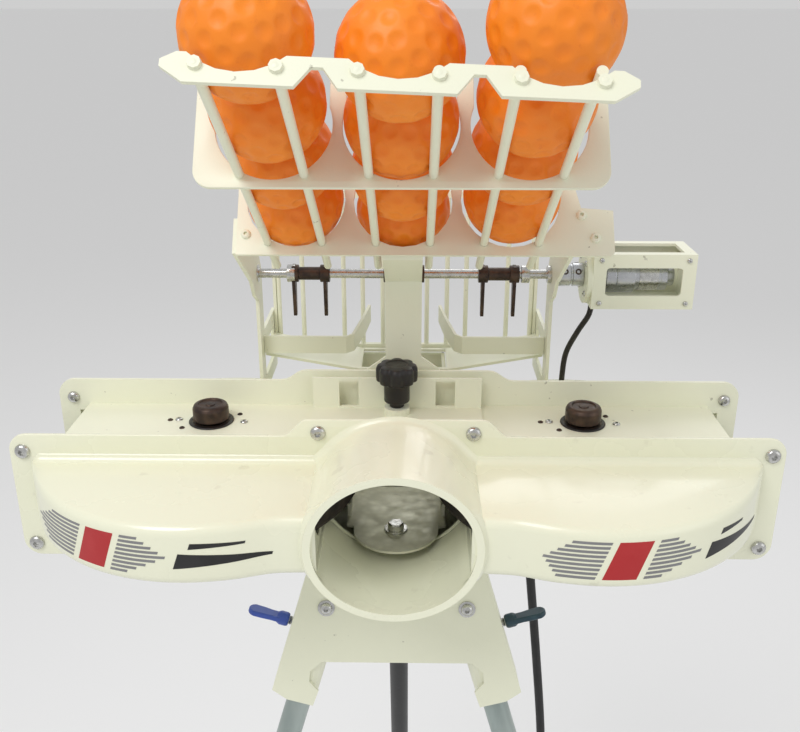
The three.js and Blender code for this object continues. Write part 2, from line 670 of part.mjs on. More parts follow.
const PLATE_TOP = -104;          // cross plate of the tripod head
const PLATE_LOW = -110;

const swivel = cut(
  join(
    turned([
      [0, -124], [10, -124], [10, PLATE_LOW - GAP], [8, PLATE_LOW - GAP],
      [8, PLATE_TOP + GAP], [26, PLATE_TOP + GAP], [26, -98], [0, -98],
    ], 20).translate(0, PIVOT_Y, 0),
    block(-16.5, PIVOT_Y - 17, -99, 16.5, PIVOT_Y + 17, -68),
  ),
  rod('x', 5.2, -40, 40, PIVOT_Y, PIVOT_Z, 16),
);
piece(head, 'swivel_block', swivel, steel);

// ---------------------------------------------------------------- tripod head
const tripod = place(head, 0, 0, 0);
const yoke = place(tripod, 0, YOKE_Y, YOKE_Z);
yoke.rotation.x = YOKE_LEAN;

const SOCKET_BACK = 17;          // leg axis behind the front plate's face
const SOCKET_X = 60;
const SOCKET_Z = -34;
const FLANGE_OUT = 26;
const CLAMP_Z = -29;

function frontPlateShape() {
  const s = new THREE.Shape();
  const half = [
    [-71, 20], [-79, -7], [-110, -112], [-97, -121], [-74, -127],
    [-69, -113], [-77, -104], [-76, -94], [-66, -85],
  ];
  half.forEach(([x, z], i) => (i ? s.lineTo(x, z) : s.moveTo(x, z)));
  [...half].reverse().forEach(([x, z]) => s.lineTo(-x, z));
  s.closePath();
  return s;
}

// Moves a geometry out of a group's frame into the head's.
function inHead(geometry, object) {
  head.updateMatrixWorld(true);
  const toHead = head.matrixWorld.clone().invert().multiply(object.matrixWorld);
  return geometry.applyMatrix4(toHead);
}

const legs = ['left', 'right', 'rear'].map(name => {
  if (name === 'rear') {
    const g = place(tripod, 0, 85, -136);
    g.rotation.x = REAR_SPLAY;
    return { name, g };
  }
  const side = name === 'left' ? -1 : 1;
  const g = place(yoke, side * SOCKET_X, SOCKET_BACK, SOCKET_Z);
  g.rotation.y = -side * LEG_SPLAY;
  return { name, g, side };
});

const SOCKET_TOP = { left: 16, right: 16, rear: 26 };
const BORE_TOP = { left: 12, right: 12, rear: -8 };

function tripodHead() {
  const solids = [inHead(plateXZ(frontPlateShape(), 0, SHEET), yoke)];
  const bores = [];
  legs.forEach(({ name, g, side }) => {
    const top = SOCKET_TOP[name];
    const bore = LEG_R[name] + SOCKET_PLAY;
    const r = bore + SOCKET_WALL;
    solids.push(inHead(rod('z', r, -SOCKET_DROP, top, 0, 0, 16), g));
    bores.push(inHead(rod('z', bore, -SOCKET_DROP - 5, BORE_TOP[name], 0, 0, 16), g));
    const out = side ?? 1;
    bores.push(inHead(rod('x', 4.3, ...(out < 0 ? [-60, 0] : [0, 60]), 0, CLAMP_Z, 12), g));
    if (side) {
      const [low, high] = side < 0 ? [-FLANGE_OUT, -FLANGE_OUT + SHEET] : [FLANGE_OUT - SHEET, FLANGE_OUT];
      solids.push(inHead(block(low, -SOCKET_BACK + 1, -82, high, 16, 46), g));
      const boss = side < 0 ? [-FLANGE_OUT + 1, 2 - r] : [r - 2, FLANGE_OUT - 1];
      solids.push(inHead(rod('x', 8, ...boss, 0, CLAMP_Z, 16), g));
    }
  });
  solids.push(block(-62, YOKE_Y, PLATE_LOW, 62, 98, PLATE_TOP));
  bores.push(rod('z', 8 + GAP, PLATE_LOW - 9, PLATE_TOP + 9, 0, PIVOT_Y, 16));
  bores.push(rod('z', 10.6, -125, PLATE_LOW, 0, PIVOT_Y, 16));
  return cut(join(...solids), ...bores);
}

piece(tripod, 'tripod_head', tripodHead(), cream);

// ---------------------------------------------------------------- legs, feet and clamps
function floorDrop(group) {
  machine.updateMatrixWorld(true);
  const m = group.matrixWorld;
  const origin = new THREE.Vector3().setFromMatrixPosition(m);
  const down = new THREE.Vector3(0, 0, -1).transformDirection(m);
  return origin.z / -down.z;
}

const FOOT = 26;                 // height of the rubber foot on the leg
const FOOT_FLOOR = 14;            // rubber under the tube's end
const FOOT_SUNK = 4;             // the foot's axis runs this far past the flat that it stands on
const toFrame = (geometry, group) => geometry.applyMatrix4(group.matrixWorld.clone().invert());
legs.forEach(({ name, g, side }) => {
  const reach = floorDrop(g);
  const tip = reach + FOOT_SUNK;
  const top = BORE_TOP[name] - GAP;
  const r = LEG_R[name];
  const leg = cut(
    rod('z', r, -tip + FOOT_FLOOR, top, 0, 0, 16),
    rod('z', r - 2, -tip - 20, top - 3, 0, 0, 12),
  );
  piece(g, `leg_${name}`, leg, name === 'rear' ? blackTube : tube);
  const ground = toFrame(block(-900, -900, -90, 900, 900, 0), g);
  const boot = turned([
    [0, -tip], [13, -tip], [16, -tip + 3], [14.5, -tip + FOOT + 6], [r + GAP, -tip + FOOT + 6],
    [r + GAP, -tip + FOOT_FLOOR - GAP], [0, -tip + FOOT_FLOOR - GAP],
  ], 16);
  const foot = cut(boot, ground);
  piece(g, `foot_${name}`, foot, rubber);
  const out = side ?? 1;
  const screw = join(
    rod('x', 4, r + SOCKET_PLAY + 1, 41, 0, CLAMP_Z, 12),
    block(37, -8, CLAMP_Z - 2.5, 58, 8, CLAMP_Z + 2.5),
    rod('z', 8, CLAMP_Z - 2.5, CLAMP_Z + 2.5, 58, 0, 12),
  );
  const clamp = piece(g, `leg_clamp_${name}`, screw, name === 'rear' ? steel : bluePlastic);
  if (out < 0) clamp.rotation.z = Math.PI;
});

// ---------------------------------------------------------------- power lead
const LEAD_R = 4.5;
const GLAND = { x: BOX.x + GAP, y: 150, z: -75, long: 22 };
const FLOOR = -AXIS_HEIGHT;
const gland = turned([[0, 0], [8.5, 0], [8.5, 6], [6.8, 8], [5.6, GLAND.long], [0, GLAND.long]], 12)
  .rotateY(Math.PI / 2);
piece(head, 'lead_gland', gland, blackPlastic).position.set(GLAND.x, GLAND.y, GLAND.z);

const COIL = { x: 103, y: 296, r: 50, wide: 2, high: 3 };
const LEAD_PATH = [
  [GLAND.x + GLAND.long + GAP, 150, -75], [86, 150, -75], [98, 150, -76.8], [110, 150, -83.5],
  [119.5, 150, -95], [124.5, 150, -109], [127.5, 150, -128], [130, 150, -156], [134, 150, -192],
  [144, 150, -280], [154, 150, -379], [160, 151, -480],
  [163, 154, -600], [163.5, 160, -720], [162, 167, -840], [160, 175, -950], [158.5, 183, -1040],
  [157.5, 193, -1100], [157.5, 208, -1140], [157.5, 232, -1165], [157.5, 250, FLOOR + LEAD_R + 1],
  [157.5, COIL.y - 38, FLOOR + LEAD_R],
];
piece(head, 'power_lead', cable(LEAD_PATH, LEAD_R, 48), blackPlastic);

const coilIn = COIL.r - COIL.wide * LEAD_R - 0.5;
const coilOut = COIL.r + COIL.wide * LEAD_R + 0.5;
const coilTop = COIL.high * 2 * LEAD_R + 0.5;
const ring = turned([[coilIn, 0], [coilOut, 0], [coilOut, coilTop], [coilIn, coilTop], [coilIn, 0]], 24);
piece(head, 'power_lead_coil', ring, blackPlastic).position.set(COIL.x, COIL.y, FLOOR);

// A moulded three-pin plug, its cord end at 0 and its pins toward +y.
function plug() {
  const body = extrude(roundRect(-14, -12, 14, 12, 6), 30, 6).rotateX(-Math.PI / 2).translate(0, 12, 0);
  return join(
    body,
    rod('y', 7, 0, 14, 0, 0, 16),
    block(-7.1, 40, -1, -5.6, 58, 5.3),
    block(5.6, 40, -1, 7.1, 58, 5.3),
    rod('y', 2.4, 40, 60, 0, -7, 10),
  );
}
const plugAt = piece(head, 'power_plug', plug(), blackPlastic);
plugAt.position.set(COIL.x - COIL.r - 2, COIL.y + 8, FLOOR + coilTop + 12 + GAP);
plugAt.rotation.z = Math.PI;

export default machine;
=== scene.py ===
"""Two-wheel ball bowling machine on a tripod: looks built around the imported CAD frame.

Lengths in this file are millimetres in the head's frame unless a name says otherwise: the origin is the
ball line where it crosses the front cover's flange, x to the right seen from the muzzle, y back, z up.
"""

import json
import math

import bmesh
import bpy
import numpy as np
from mathutils import Matrix, Vector


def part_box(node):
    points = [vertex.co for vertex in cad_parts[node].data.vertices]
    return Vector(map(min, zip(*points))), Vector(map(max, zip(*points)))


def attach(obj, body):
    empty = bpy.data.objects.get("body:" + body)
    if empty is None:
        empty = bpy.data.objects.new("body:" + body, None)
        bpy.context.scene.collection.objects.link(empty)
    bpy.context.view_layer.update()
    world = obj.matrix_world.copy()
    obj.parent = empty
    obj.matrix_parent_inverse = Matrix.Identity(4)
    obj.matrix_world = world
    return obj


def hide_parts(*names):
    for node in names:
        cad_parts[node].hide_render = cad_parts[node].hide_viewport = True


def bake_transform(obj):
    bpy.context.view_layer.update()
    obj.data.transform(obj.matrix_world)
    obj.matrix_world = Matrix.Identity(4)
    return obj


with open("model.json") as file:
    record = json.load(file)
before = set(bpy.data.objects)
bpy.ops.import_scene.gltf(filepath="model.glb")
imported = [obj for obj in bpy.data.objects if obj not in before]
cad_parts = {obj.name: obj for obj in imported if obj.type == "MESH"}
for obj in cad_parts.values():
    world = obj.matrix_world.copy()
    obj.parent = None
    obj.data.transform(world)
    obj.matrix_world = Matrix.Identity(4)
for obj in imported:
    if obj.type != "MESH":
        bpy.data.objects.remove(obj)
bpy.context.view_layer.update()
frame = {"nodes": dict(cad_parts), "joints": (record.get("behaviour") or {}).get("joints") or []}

MM = 0.001
FLANGE_LOW = -62.0
HEAD = Vector((0.0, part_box("front_cover")[1].y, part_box("front_cover")[0].z - FLANGE_LOW * MM))
FLOOR = -HEAD.z / MM
TO_ROW = Matrix.Translation(HEAD) @ Matrix.Scale(MM, 4)
SIDES = ((-1, "left"), (1, "right"))


def row(x, y, z):
    """A point of the head's frame, in metres in the row's frame."""
    return TO_ROW @ Vector((x, y, z))


# ---- camera, floor and light
LENS = 41.83
EYE = (12.85, -650.8, 357.4)
LOOK_DOWN, LOOK_LEFT = math.radians(21.31), math.radians(0.84)
WORLD_LIGHT = 0.62
FLOOR_HALF = 300.0
LIGHTS = (  # name, place, height of what it is aimed at, size, power
    ("key", (-0.9, -1.5, 3.1), 1.2, 1.3, 27),
    ("fill", (2.2, -1.4, 1.9), 1.2, 2.0, 7),
    ("back", (0.6, 2.2, 3.0), 1.3, 1.8, 16),
)


def make_camera():
    data = bpy.data.cameras.new("camera")
    data.sensor_width = 36
    data.lens = LENS
    data.clip_end = 600
    camera = bpy.data.objects.new("camera", data)
    camera.location = row(*EYE)
    camera.rotation_euler = (math.pi / 2 - LOOK_DOWN, 0, LOOK_LEFT)
    bpy.context.collection.objects.link(camera)
    bpy.context.scene.camera = camera


def area_light(name, place, target, size, power):
    data = bpy.data.lights.new(name, "AREA")
    data.shape = "DISK"
    data.size = size
    data.energy = power
    light = bpy.data.objects.new(name, data)
    light.location = place
    aim = Vector(target) - Vector(place)
    light.rotation_euler = aim.to_track_quat("-Z", "Y").to_euler()
    bpy.context.collection.objects.link(light)


def make_stage():
    world = bpy.data.worlds.new("studio")
    world.use_nodes = True
    background = world.node_tree.nodes["Background"]
    background.inputs["Color"].default_value = (1.0, 1.0, 1.0, 1)
    background.inputs["Strength"].default_value = WORLD_LIGHT
    bpy.context.scene.world = world
    bpy.context.scene.view_settings.view_transform = "Standard"
    mesh = bpy.data.meshes.new("floor")
    corners = [(x * FLOOR_HALF, y * FLOOR_HALF, 0) for x, y in ((-1, -1), (1, -1), (1, 1), (-1, 1))]
    mesh.from_pydata(corners, [], [(0, 1, 2, 3)])
    floor = bpy.data.objects.new("floor", mesh)
    bpy.context.collection.objects.link(floor)
    surface = bpy.data.materials.new("floor")
    surface.use_nodes = True
    shader = surface.node_tree.nodes["Principled BSDF"]
    shader.inputs["Base Color"].default_value = (0.93, 0.93, 0.93, 1)
    shader.inputs["Roughness"].default_value = 0.9
    mesh.materials.append(surface)
    for name, place, aim, size, power in LIGHTS:
        area_light(name, place, (0, 0, aim), size, power)


make_camera()
make_stage()


# ---- materials
def hexa(red, green, blue):
    """Linear colour from 0-255 screen values."""
    def linear(v):
        v /= 255
        return v / 12.92 if v <= 0.04045 else ((v + 0.055) / 1.055) ** 2.4
    return (linear(red), linear(green), linear(blue), 1)


class Surface:
    """A Principled material with helpers that add procedural variation in metres."""

    def __init__(self, name, color, roughness, metallic=0.0):
        self.material = bpy.data.materials.new(name)
        self.material.use_nodes = True
        self.tree = self.material.node_tree
        self.shader = self.tree.nodes["Principled BSDF"]
        self.color = color
        self.shader.inputs["Base Color"].default_value = color
        self.shader.inputs["Roughness"].default_value = roughness
        self.shader.inputs["Metallic"].default_value = metallic
        self.place = self.tree.nodes.new("ShaderNodeTexCoord").outputs["Object"]

    def noise(self, scale, detail, stretch=None):
        node = self.tree.nodes.new("ShaderNodeTexNoise")
        node.inputs["Scale"].default_value = scale
        node.inputs["Detail"].default_value = detail
        place = self.place
        if stretch:
            mapping = self.tree.nodes.new("ShaderNodeMapping")
            mapping.inputs["Scale"].default_value = stretch
            self.tree.links.new(place, mapping.inputs["Vector"])
            place = mapping.outputs["Vector"]
        self.tree.links.new(place, node.inputs["Vector"])
        return node.outputs["Fac"]

    def spread(self, value, low, high, to_low, to_high):
        node = self.tree.nodes.new("ShaderNodeMapRange")
        for name, number in zip(("From Min", "From Max", "To Min", "To Max"), (low, high, to_low, to_high)):
            node.inputs[name].default_value = number
        self.tree.links.new(value, node.inputs["Value"])
        return node.outputs["Result"]

    def tint(self, mask, color):
        """Mixes another colour in where the mask is 1."""
        mix = self.tree.nodes.new("ShaderNodeMix")
        mix.data_type = "RGBA"
        base = self.shader.inputs["Base Color"]
        if base.is_linked:
            self.tree.links.new(base.links[0].from_socket, mix.inputs["A"])
        else:
            mix.inputs["A"].default_value = self.color
        mix.inputs["B"].default_value = color
        self.tree.links.new(mask, mix.inputs["Factor"])
        self.tree.links.new(mix.outputs["Result"], base)

    def patches(self, scale, detail, low, high, amount, color, stretch=None):
        """Mixes another colour in over patches of noise, by up to an amount."""
        self.tint(self.spread(self.noise(scale, detail, stretch), low, high, 0.0, amount), color)

    def gloss(self, scale, detail, low, high):
        """Roughness that wanders from low to high."""
        mask = self.noise(scale, detail)
        self.tree.links.new(self.spread(mask, 0.3, 0.7, low, high), self.shader.inputs["Roughness"])

    def relief(self, scale, detail, strength, distance, stretch=None):
        """Fine bumps from noise."""
        height = self.noise(scale, detail, stretch)
        node = self.tree.nodes.new("ShaderNodeBump")
        node.inputs["Strength"].default_value = strength
        node.inputs["Distance"].default_value = distance
        self.tree.links.new(height, node.inputs["Height"])
        self.tree.links.new(node.outputs["Normal"], self.shader.inputs["Normal"])

    def put(self, name, value):
        self.shader.inputs[name].default_value = value
        return self


def moulded_ivory():
    """Glossy moulded skin with a faint orange peel, a little dust and fine rubs."""
    s = Surface("moulded_ivory", hexa(240, 241, 217), 0.3)
    s.patches(3.5, 4, 0.35, 0.75, 0.5, hexa(232, 232, 205))
    s.patches(60, 6, 0.66, 0.74, 0.28, hexa(190, 186, 164))
    s.gloss(14, 5, 0.2, 0.36)
    s.relief(420, 2, 0.16, 0.0004)
    s.put("Coat Weight", 0.35).put("Coat Roughness", 0.12)
    return s.material


def coated_ivory():
    """Powder coat over folded steel: finer peel, duller, with small chips."""
    s = Surface("coated_ivory", hexa(237, 238, 216), 0.4)
    s.patches(6, 4, 0.35, 0.75, 0.45, hexa(227, 228, 204))
    s.patches(150, 4, 0.71, 0.75, 0.6, hexa(150, 146, 128))
    s.gloss(22, 5, 0.34, 0.5)
    s.relief(900, 2, 0.22, 0.00035)
    return s.material


def galvanised():
    """Zinc sheet with soft spangle patches."""
    s = Surface("galvanised", hexa(212, 211, 194), 0.42, 0.6)
    cells = s.tree.nodes.new("ShaderNodeTexVoronoi")
    cells.inputs["Scale"].default_value = 160
    s.tree.links.new(s.place, cells.inputs["Vector"])
    s.tint(s.spread(cells.outputs["Distance"], 0.1, 0.7, 0.0, 0.4), hexa(178, 178, 162))
    s.gloss(90, 4, 0.32, 0.55)
    s.relief(300, 3, 0.12, 0.0003)
    return s.material


def plated_steel():
    """Bright plated screw steel with fine turning marks."""
    s = Surface("plated_steel", hexa(205, 205, 203), 0.25, 1.0)
    s.patches(240, 5, 0.45, 0.8, 0.5, hexa(120, 118, 112))
    s.gloss(500, 3, 0.16, 0.36)
    s.relief(900, 2, 0.1, 0.0002)
    return s.material


def dark_steel():
    """Oiled, browned steel of collars, fingers and spindle caps."""
    s = Surface("dark_steel", hexa(62, 52, 48), 0.4, 0.75)
    s.patches(130, 5, 0.4, 0.75, 0.8, hexa(104, 84, 70))
    s.gloss(260, 3, 0.3, 0.55)
    s.relief(700, 3, 0.18, 0.0003)
    return s.material


def leg_steel():
    """Dull galvanised leg tube with long draw marks."""
    s = Surface("leg_steel", hexa(182, 192, 188), 0.36, 0.75)
    s.patches(28, 5, 0.35, 0.75, 0.7, hexa(122, 138, 136), (1, 1, 0.12))
    s.gloss(60, 4, 0.26, 0.46)
    s.relief(500, 2, 0.12, 0.0003, (1, 1, 0.06))
    return s.material


def black_coat():
    """Black powder coat, lightly rubbed."""
    s = Surface("black_coat", hexa(20, 20, 22), 0.42)
    s.patches(90, 5, 0.6, 0.78, 0.35, hexa(70, 70, 72))
    s.relief(800, 2, 0.25, 0.0004)
    return s.material


def tyre_rubber():
    """Matt brown-black running rubber, polished dusty where balls run."""
    s = Surface("tyre_rubber", hexa(42, 36, 33), 0.85)
    s.patches(45, 6, 0.45, 0.75, 0.55, hexa(84, 72, 62))
    s.gloss(80, 4, 0.7, 0.95)
    s.relief(600, 4, 0.5, 0.0006)
    return s.material


def foot_rubber():
    """Moulded rubber foot, scuffed grey toward the floor."""
    s = Surface("foot_rubber", hexa(34, 34, 35), 0.75)
    s.patches(70, 5, 0.5, 0.8, 0.5, hexa(88, 84, 78))
    s.relief(450, 3, 0.4, 0.0005)
    return s.material


def black_plastic():
    """Fine-grained black moulding."""
    s = Surface("black_plastic", hexa(27, 23, 22), 0.42)
    s.patches(40, 4, 0.5, 0.8, 0.5, hexa(52, 45, 42))
    s.gloss(120, 3, 0.34, 0.52)
    s.relief(1500, 2, 0.35, 0.0003)
    return s.material


def lead_sheath():
    """Soft black cable sheath with a faint drawn grain."""
    s = Surface("lead_sheath", hexa(24, 24, 25), 0.5)
    s.patches(30, 5, 0.5, 0.8, 0.4, hexa(64, 62, 60))
    s.gloss(60, 3, 0.42, 0.62)
    s.relief(700, 2, 0.2, 0.0002)
    return s.material


def ball_orange():
    """Orange moulded ball, warmer in patches, with a fine pebbled skin."""
    s = Surface("ball_orange", hexa(250, 142, 26), 0.45)
    s.patches(18, 4, 0.35, 0.75, 0.7, hexa(240, 122, 16))
    s.patches(260, 4, 0.62, 0.8, 0.4, hexa(222, 104, 24))
    s.gloss(90, 4, 0.42, 0.6)
    s.relief(1100, 2, 0.25, 0.0003)
    return s.material


def lever_plastic(name, color, worn):
    """Glossy moulded lever."""
    s = Surface(name, color, 0.32)
    s.patches(120, 5, 0.55, 0.8, 0.5, worn)
    s.relief(700, 2, 0.15, 0.0003)
    return s.material


def alloy():
    """Machined aluminium with a soft turned sheen."""
    s = Surface("alloy", hexa(198, 200, 203), 0.32, 1.0)
    s.patches(60, 5, 0.4, 0.8, 0.5, hexa(150, 152, 156))
    s.gloss(300, 4, 0.22, 0.42)
    s.relief(800, 2, 0.12, 0.0002)
    return s.material


def decal(name, color, faded):
    """Printed vinyl stripe, slightly faded."""
    s = Surface(name, color, 0.38)
    s.patches(50, 4, 0.45, 0.8, 0.4, faded)
    s.relief(900, 2, 0.1, 0.0002)
    return s.material


LOOK = {
    "cover_gloss": moulded_ivory(),
    "frame_cream": coated_ivory(),
    "galvanised": galvanised(),
    "bright_steel": plated_steel(),
    "dark_steel": dark_steel(),
    "leg_steel": leg_steel(),
    "black_coat": black_coat(),
    "wheel_tyre": tyre_rubber(),
    "foot_rubber": foot_rubber(),
    "black_plastic": black_plastic(),
    "lead_pvc": lead_sheath(),
    "ball_orange": ball_orange(),
    "clamp_blue": lever_plastic("lever_blue", hexa(62, 88, 178), hexa(96, 120, 196)),
    # Painted shade: the right lever's dark teal is the same blue lever plastic darkened for the shade it
    # stands in.
    "clamp_teal": lever_plastic("lever_blue_shaded", hexa(34, 62, 74), hexa(70, 100, 110)),
    "cast_alloy": alloy(),
}
STRIPE_GREY = decal("stripe_grey", hexa(128, 128, 130), hexa(150, 150, 150))
STRIPE_RED = decal("stripe_red", hexa(178, 30, 34), hexa(196, 58, 58))
STRIPE_BLACK = decal("stripe_black", hexa(24, 24, 24), hexa(58, 58, 58))


# ---- mesh helpers
def smooth_mesh(name, bm, slot, body="head", angle=35):
    """Links a finished bmesh as one smooth-shaded piece on a body, with sharp folds kept crisp."""
    bmesh.ops.recalc_face_normals(bm, faces=bm.faces)
    for face in bm.faces:
        face.smooth = True
    for edge in bm.edges:
        if len(edge.link_faces) == 2 and edge.calc_face_angle() > math.radians(angle):
            edge.smooth = False
    mesh = bpy.data.meshes.new(name)
    bm.to_mesh(mesh)
    bm.free()
    made = bpy.data.objects.new(name, mesh)
    bpy.context.collection.objects.link(made)
    made.data.materials.append(slot if isinstance(slot, bpy.types.Material) else LOOK[slot])
    if body:
        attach(made, body)
    return made


def bevel(made, width, segments=3, angle=40):
    """Rounds the sharp edges of a piece, width in mm."""
    changed = made.modifiers.new("edges", "BEVEL")
    changed.width = width * MM
    changed.segments = segments
    changed.limit_method = "ANGLE"
    changed.angle_limit = math.radians(angle)
    changed.harden_normals = True


def frame_to(at, axis):
    """Millimetre frame with its origin at a head-frame point and its z along an axis, into metres."""
    turn = Vector(axis).to_track_quat("Z", "Y").to_matrix().to_4x4()
    return TO_ROW @ Matrix.Translation(at) @ turn


def hoop(bm, place, middle, radius, steps, side=Vector((1, 0, 0)), other=Vector((0, 1, 0))):
    """A ring of vertices about a point, in the plane of two directions."""
    ring = []
    for k in range(steps):
        a = 2 * math.pi * k / steps
        ring.append(bm.verts.new(place @ (middle + (side * math.cos(a) + other * math.sin(a)) * radius)))
    return ring


def loft(bm, rings):
    """Joins rings of vertices, one after another, into a closed body."""
    for low, high in zip(rings, rings[1:]):
        for k in range(len(low)):
            n = (k + 1) % len(low)
            bm.faces.new((low[k], low[n], high[n], high[k]))
    bm.faces.new(list(reversed(rings[0])))
    bm.faces.new(rings[-1])


def block(bm, place, middle, size):
    """Adds a box about a middle point."""
    spot = place @ Matrix.Translation(middle) @ Matrix.Diagonal((*size, 1))
    bmesh.ops.create_cube(bm, size=1, matrix=spot)


def lathe(bm, profile, place, steps=48):
    """Adds a closed body turned from (radius, height) pairs, first and last on the axis or joined."""
    rings = []
    for radius, height in profile:
        if radius < 1e-6:
            rings.append([bm.verts.new(place @ Vector((0, 0, height)))])
        else:
            rings.append(hoop(bm, place, Vector((0, 0, height)), radius, steps))
    pairs = list(zip(rings, rings[1:]))
    if len(rings[0]) > 1:
        pairs.append((rings[-1], rings[0]))
    for low, high in pairs:
        for k in range(steps):
            n = (k + 1) % steps
            corners = []
            for vert in (low[k % len(low)], low[n % len(low)], high[n % len(high)], high[k % len(high)]):
                if vert not in corners:
                    corners.append(vert)
            if len(corners) > 2:
                bm.faces.new(corners)


def rounded(profile, radius, steps=4):
    """Profile points with every inner corner replaced by a small arc-like curve."""
    points = [Vector(p) for p in profile]
    made = [points[0]]
    for a, b, c in zip(points, points[1:], points[2:]):
        cut = min(radius, (a - b).length * 0.45, (c - b).length * 0.45)
        start = b + (a - b).normalized() * cut
        end = b + (c - b).normalized() * cut
        for k in range(steps + 1):
            t = k / steps
            made.append(start * (1 - t) ** 2 + b * 2 * t * (1 - t) + end * t * t)
    made.append(points[-1])
    return [(p.x, p.y) for p in made]


def turned(name, profile, at, axis, slot, body="head", steps=48, soft=0.6):
    """A piece turned from (radius, height) pairs about an axis, with its corners softened."""
    bm = bmesh.new()
    lathe(bm, rounded(profile, soft), frame_to(at, axis), steps)
    return smooth_mesh(name, bm, slot, body)


def prism(bm, outline, low, high, place):
    """Adds a closed straight body over an outline of (x, y) points between two heights."""
    loft(bm, [[bm.verts.new(place @ Vector((x, y, z))) for x, y in outline] for z in (low, high)])


def tube(bm, points, radius, place, steps=12):
    """Adds a round bar along points that may bend, with frames carried along the path."""
    path = [Vector(p) for p in points]
    side = None
    rings = []
    for k, p in enumerate(path):
        along = (path[min(k + 1, len(path) - 1)] - path[max(k - 1, 0)]).normalized()
        if side is None:
            side = along.orthogonal().normalized()
        side = (side - along * side.dot(along)).normalized()
        rings.append(hoop(bm, place, p, radius, steps, side, along.cross(side)))
    loft(bm, rings)


# ---- power lead
CORD = 9.0
CORD_REST = CORD / 2 + 0.1  # middle of a turn that lies on the floor
CORD_LIFT = 9.3  # from one layer of turns to the next
CORD_SIDE = 9.4  # from one turn to its neighbour
COIL_X, COIL_Y, COIL_R = 103.0, 296.0, 49.8
PLUG_UP = 39.8  # plug's middle above the floor, on the coil
PLUG_ON = 14.0  # how far the last half turn moves on to meet the plug
DROP = [
    (78.6, 150, -75), (86, 150, -75), (98, 150, -76.8), (110, 150, -83.5), (119.5, 150, -95),
    (124.5, 150, -109), (127.5, 150, -128), (130, 150, -156), (134, 150, -192), (144, 150, -280),
    (154, 150, -379), (160, 151, -480), (163, 154, -600), (163.5, 160, -720), (162, 167, -840),
    (160, 175, -950), (158.5, 183, -1040), (157.5, 193, -1100), (157.5, 208, -1140), (157.5, 232, -1165),
    (157.5, 250, -1174.5), (157.5, 262, FLOOR + CORD_REST),
]


def smooth_path(points, step):
    """Centripetal curve through points, sampled about every step of length."""
    p = [Vector(q) for q in points]
    p = [p[0] * 2 - p[1]] + p + [p[-1] * 2 - p[-2]]
    made = []
    for a, b, c, d in zip(p, p[1:], p[2:], p[3:]):
        t0 = 0.0
        t1 = t0 + (b - a).length ** 0.5
        t2 = t1 + (c - b).length ** 0.5
        t3 = t2 + (d - c).length ** 0.5
        count = max(2, round((c - b).length / step))
        for k in range(count):
            t = t1 + (t2 - t1) * k / count
            ab = a * ((t1 - t) / (t1 - t0)) + b * ((t - t0) / (t1 - t0))
            bc = b * ((t2 - t) / (t2 - t1)) + c * ((t - t1) / (t2 - t1))
            cd = c * ((t3 - t) / (t3 - t2)) + d * ((t - t2) / (t3 - t2))
            abc = ab * ((t2 - t) / (t2 - t0)) + bc * ((t - t0) / (t2 - t0))
            bcd = bc * ((t3 - t) / (t3 - t1)) + cd * ((t - t1) / (t3 - t1))
            made.append(abc * ((t2 - t) / (t2 - t1)) + bcd * ((t - t1) / (t2 - t1)))
    made.append(p[-2])
    return made


def ramp(value, start, end):
    """Smooth step from 0 at start to 1 at end."""
    t = min(1.0, max(0.0, (value - start) / (end - start)))
    return t * t * (3 - 2 * t)


def coil_path():
    """The lead's turns on the floor: two wide, three high, then up over them to the plug."""
    turns = 5.5
    per_turn = 36
    wide = COIL_R + CORD_SIDE / 2
    rest = FLOOR + CORD_REST
    over = PLUG_UP - CORD_REST - 2 * CORD_LIFT
    made = []
    for k in range(1, int(turns * per_turn) + 1):
        turn = k / per_turn
        inward = ramp(turn, 0.30, 0.64) - ramp(turn, 2.10, 2.44) + ramp(turn, 3.90, 4.24)
        inward -= 0.71 * ramp(turn, 5.0, turns)
        climb = ramp(turn, 1.26, 1.46) + ramp(turn, 3.06, 3.26)
        radius = wide - CORD_SIDE * inward
        angle = 2 * math.pi * turn
        x = COIL_X + radius * math.cos(angle)
        y = COIL_Y + radius * math.sin(angle) + PLUG_ON * ramp(turn, 5.0, turns)
        z = rest + CORD_LIFT * climb + over * ramp(turn, 4.66, turns)
        made.append(Vector((x, y, z)))
    return made


def relief(name, path, far, body):
    """Moulded strain relief that thins along the first stretch of the lead, with grip rings."""
    bm = bmesh.new()
    line = [path[0]]
    for a, b in zip(path, path[1:]):
        if sum((q - p).length for p, q in zip(line, line[1:])) < far:
            line.append(b)
    rings = []
    count = len(line)
    root, taper, groove = 7.2, 2.2, 0.7
    for k, p in enumerate(line):
        along = (line[min(k + 1, count - 1)] - line[max(k - 1, 0)]).normalized()
        side = along.cross(Vector((0, 0, 1) if abs(along.z) < 0.9 else (1, 0, 0))).normalized()
        radius = root - taper * k / (count - 1) - groove * (k % 2)
        rings.append(hoop(bm, TO_ROW, p, radius, 12, side, along.cross(side)))
    loft(bm, rings)
    return smooth_mesh(name, bm, "black_plastic", body)


lead_path = smooth_path(DROP, 9) + coil_path()
lead_path.append(Vector((COIL_X - COIL_R - 2, COIL_Y + 8, FLOOR + PLUG_UP)))
lead_mesh = bmesh.new()
tube(lead_mesh, lead_path, CORD / 2, TO_ROW, 14)
lead = smooth_mesh("lead", lead_mesh, "lead_pvc", body=None, angle=80)
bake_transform(lead)
gland_relief = relief("gland_relief", lead_path[:8], 30, "head")
plug_relief = relief("plug_relief", list(reversed(lead_path))[:9], 32, "swivel")


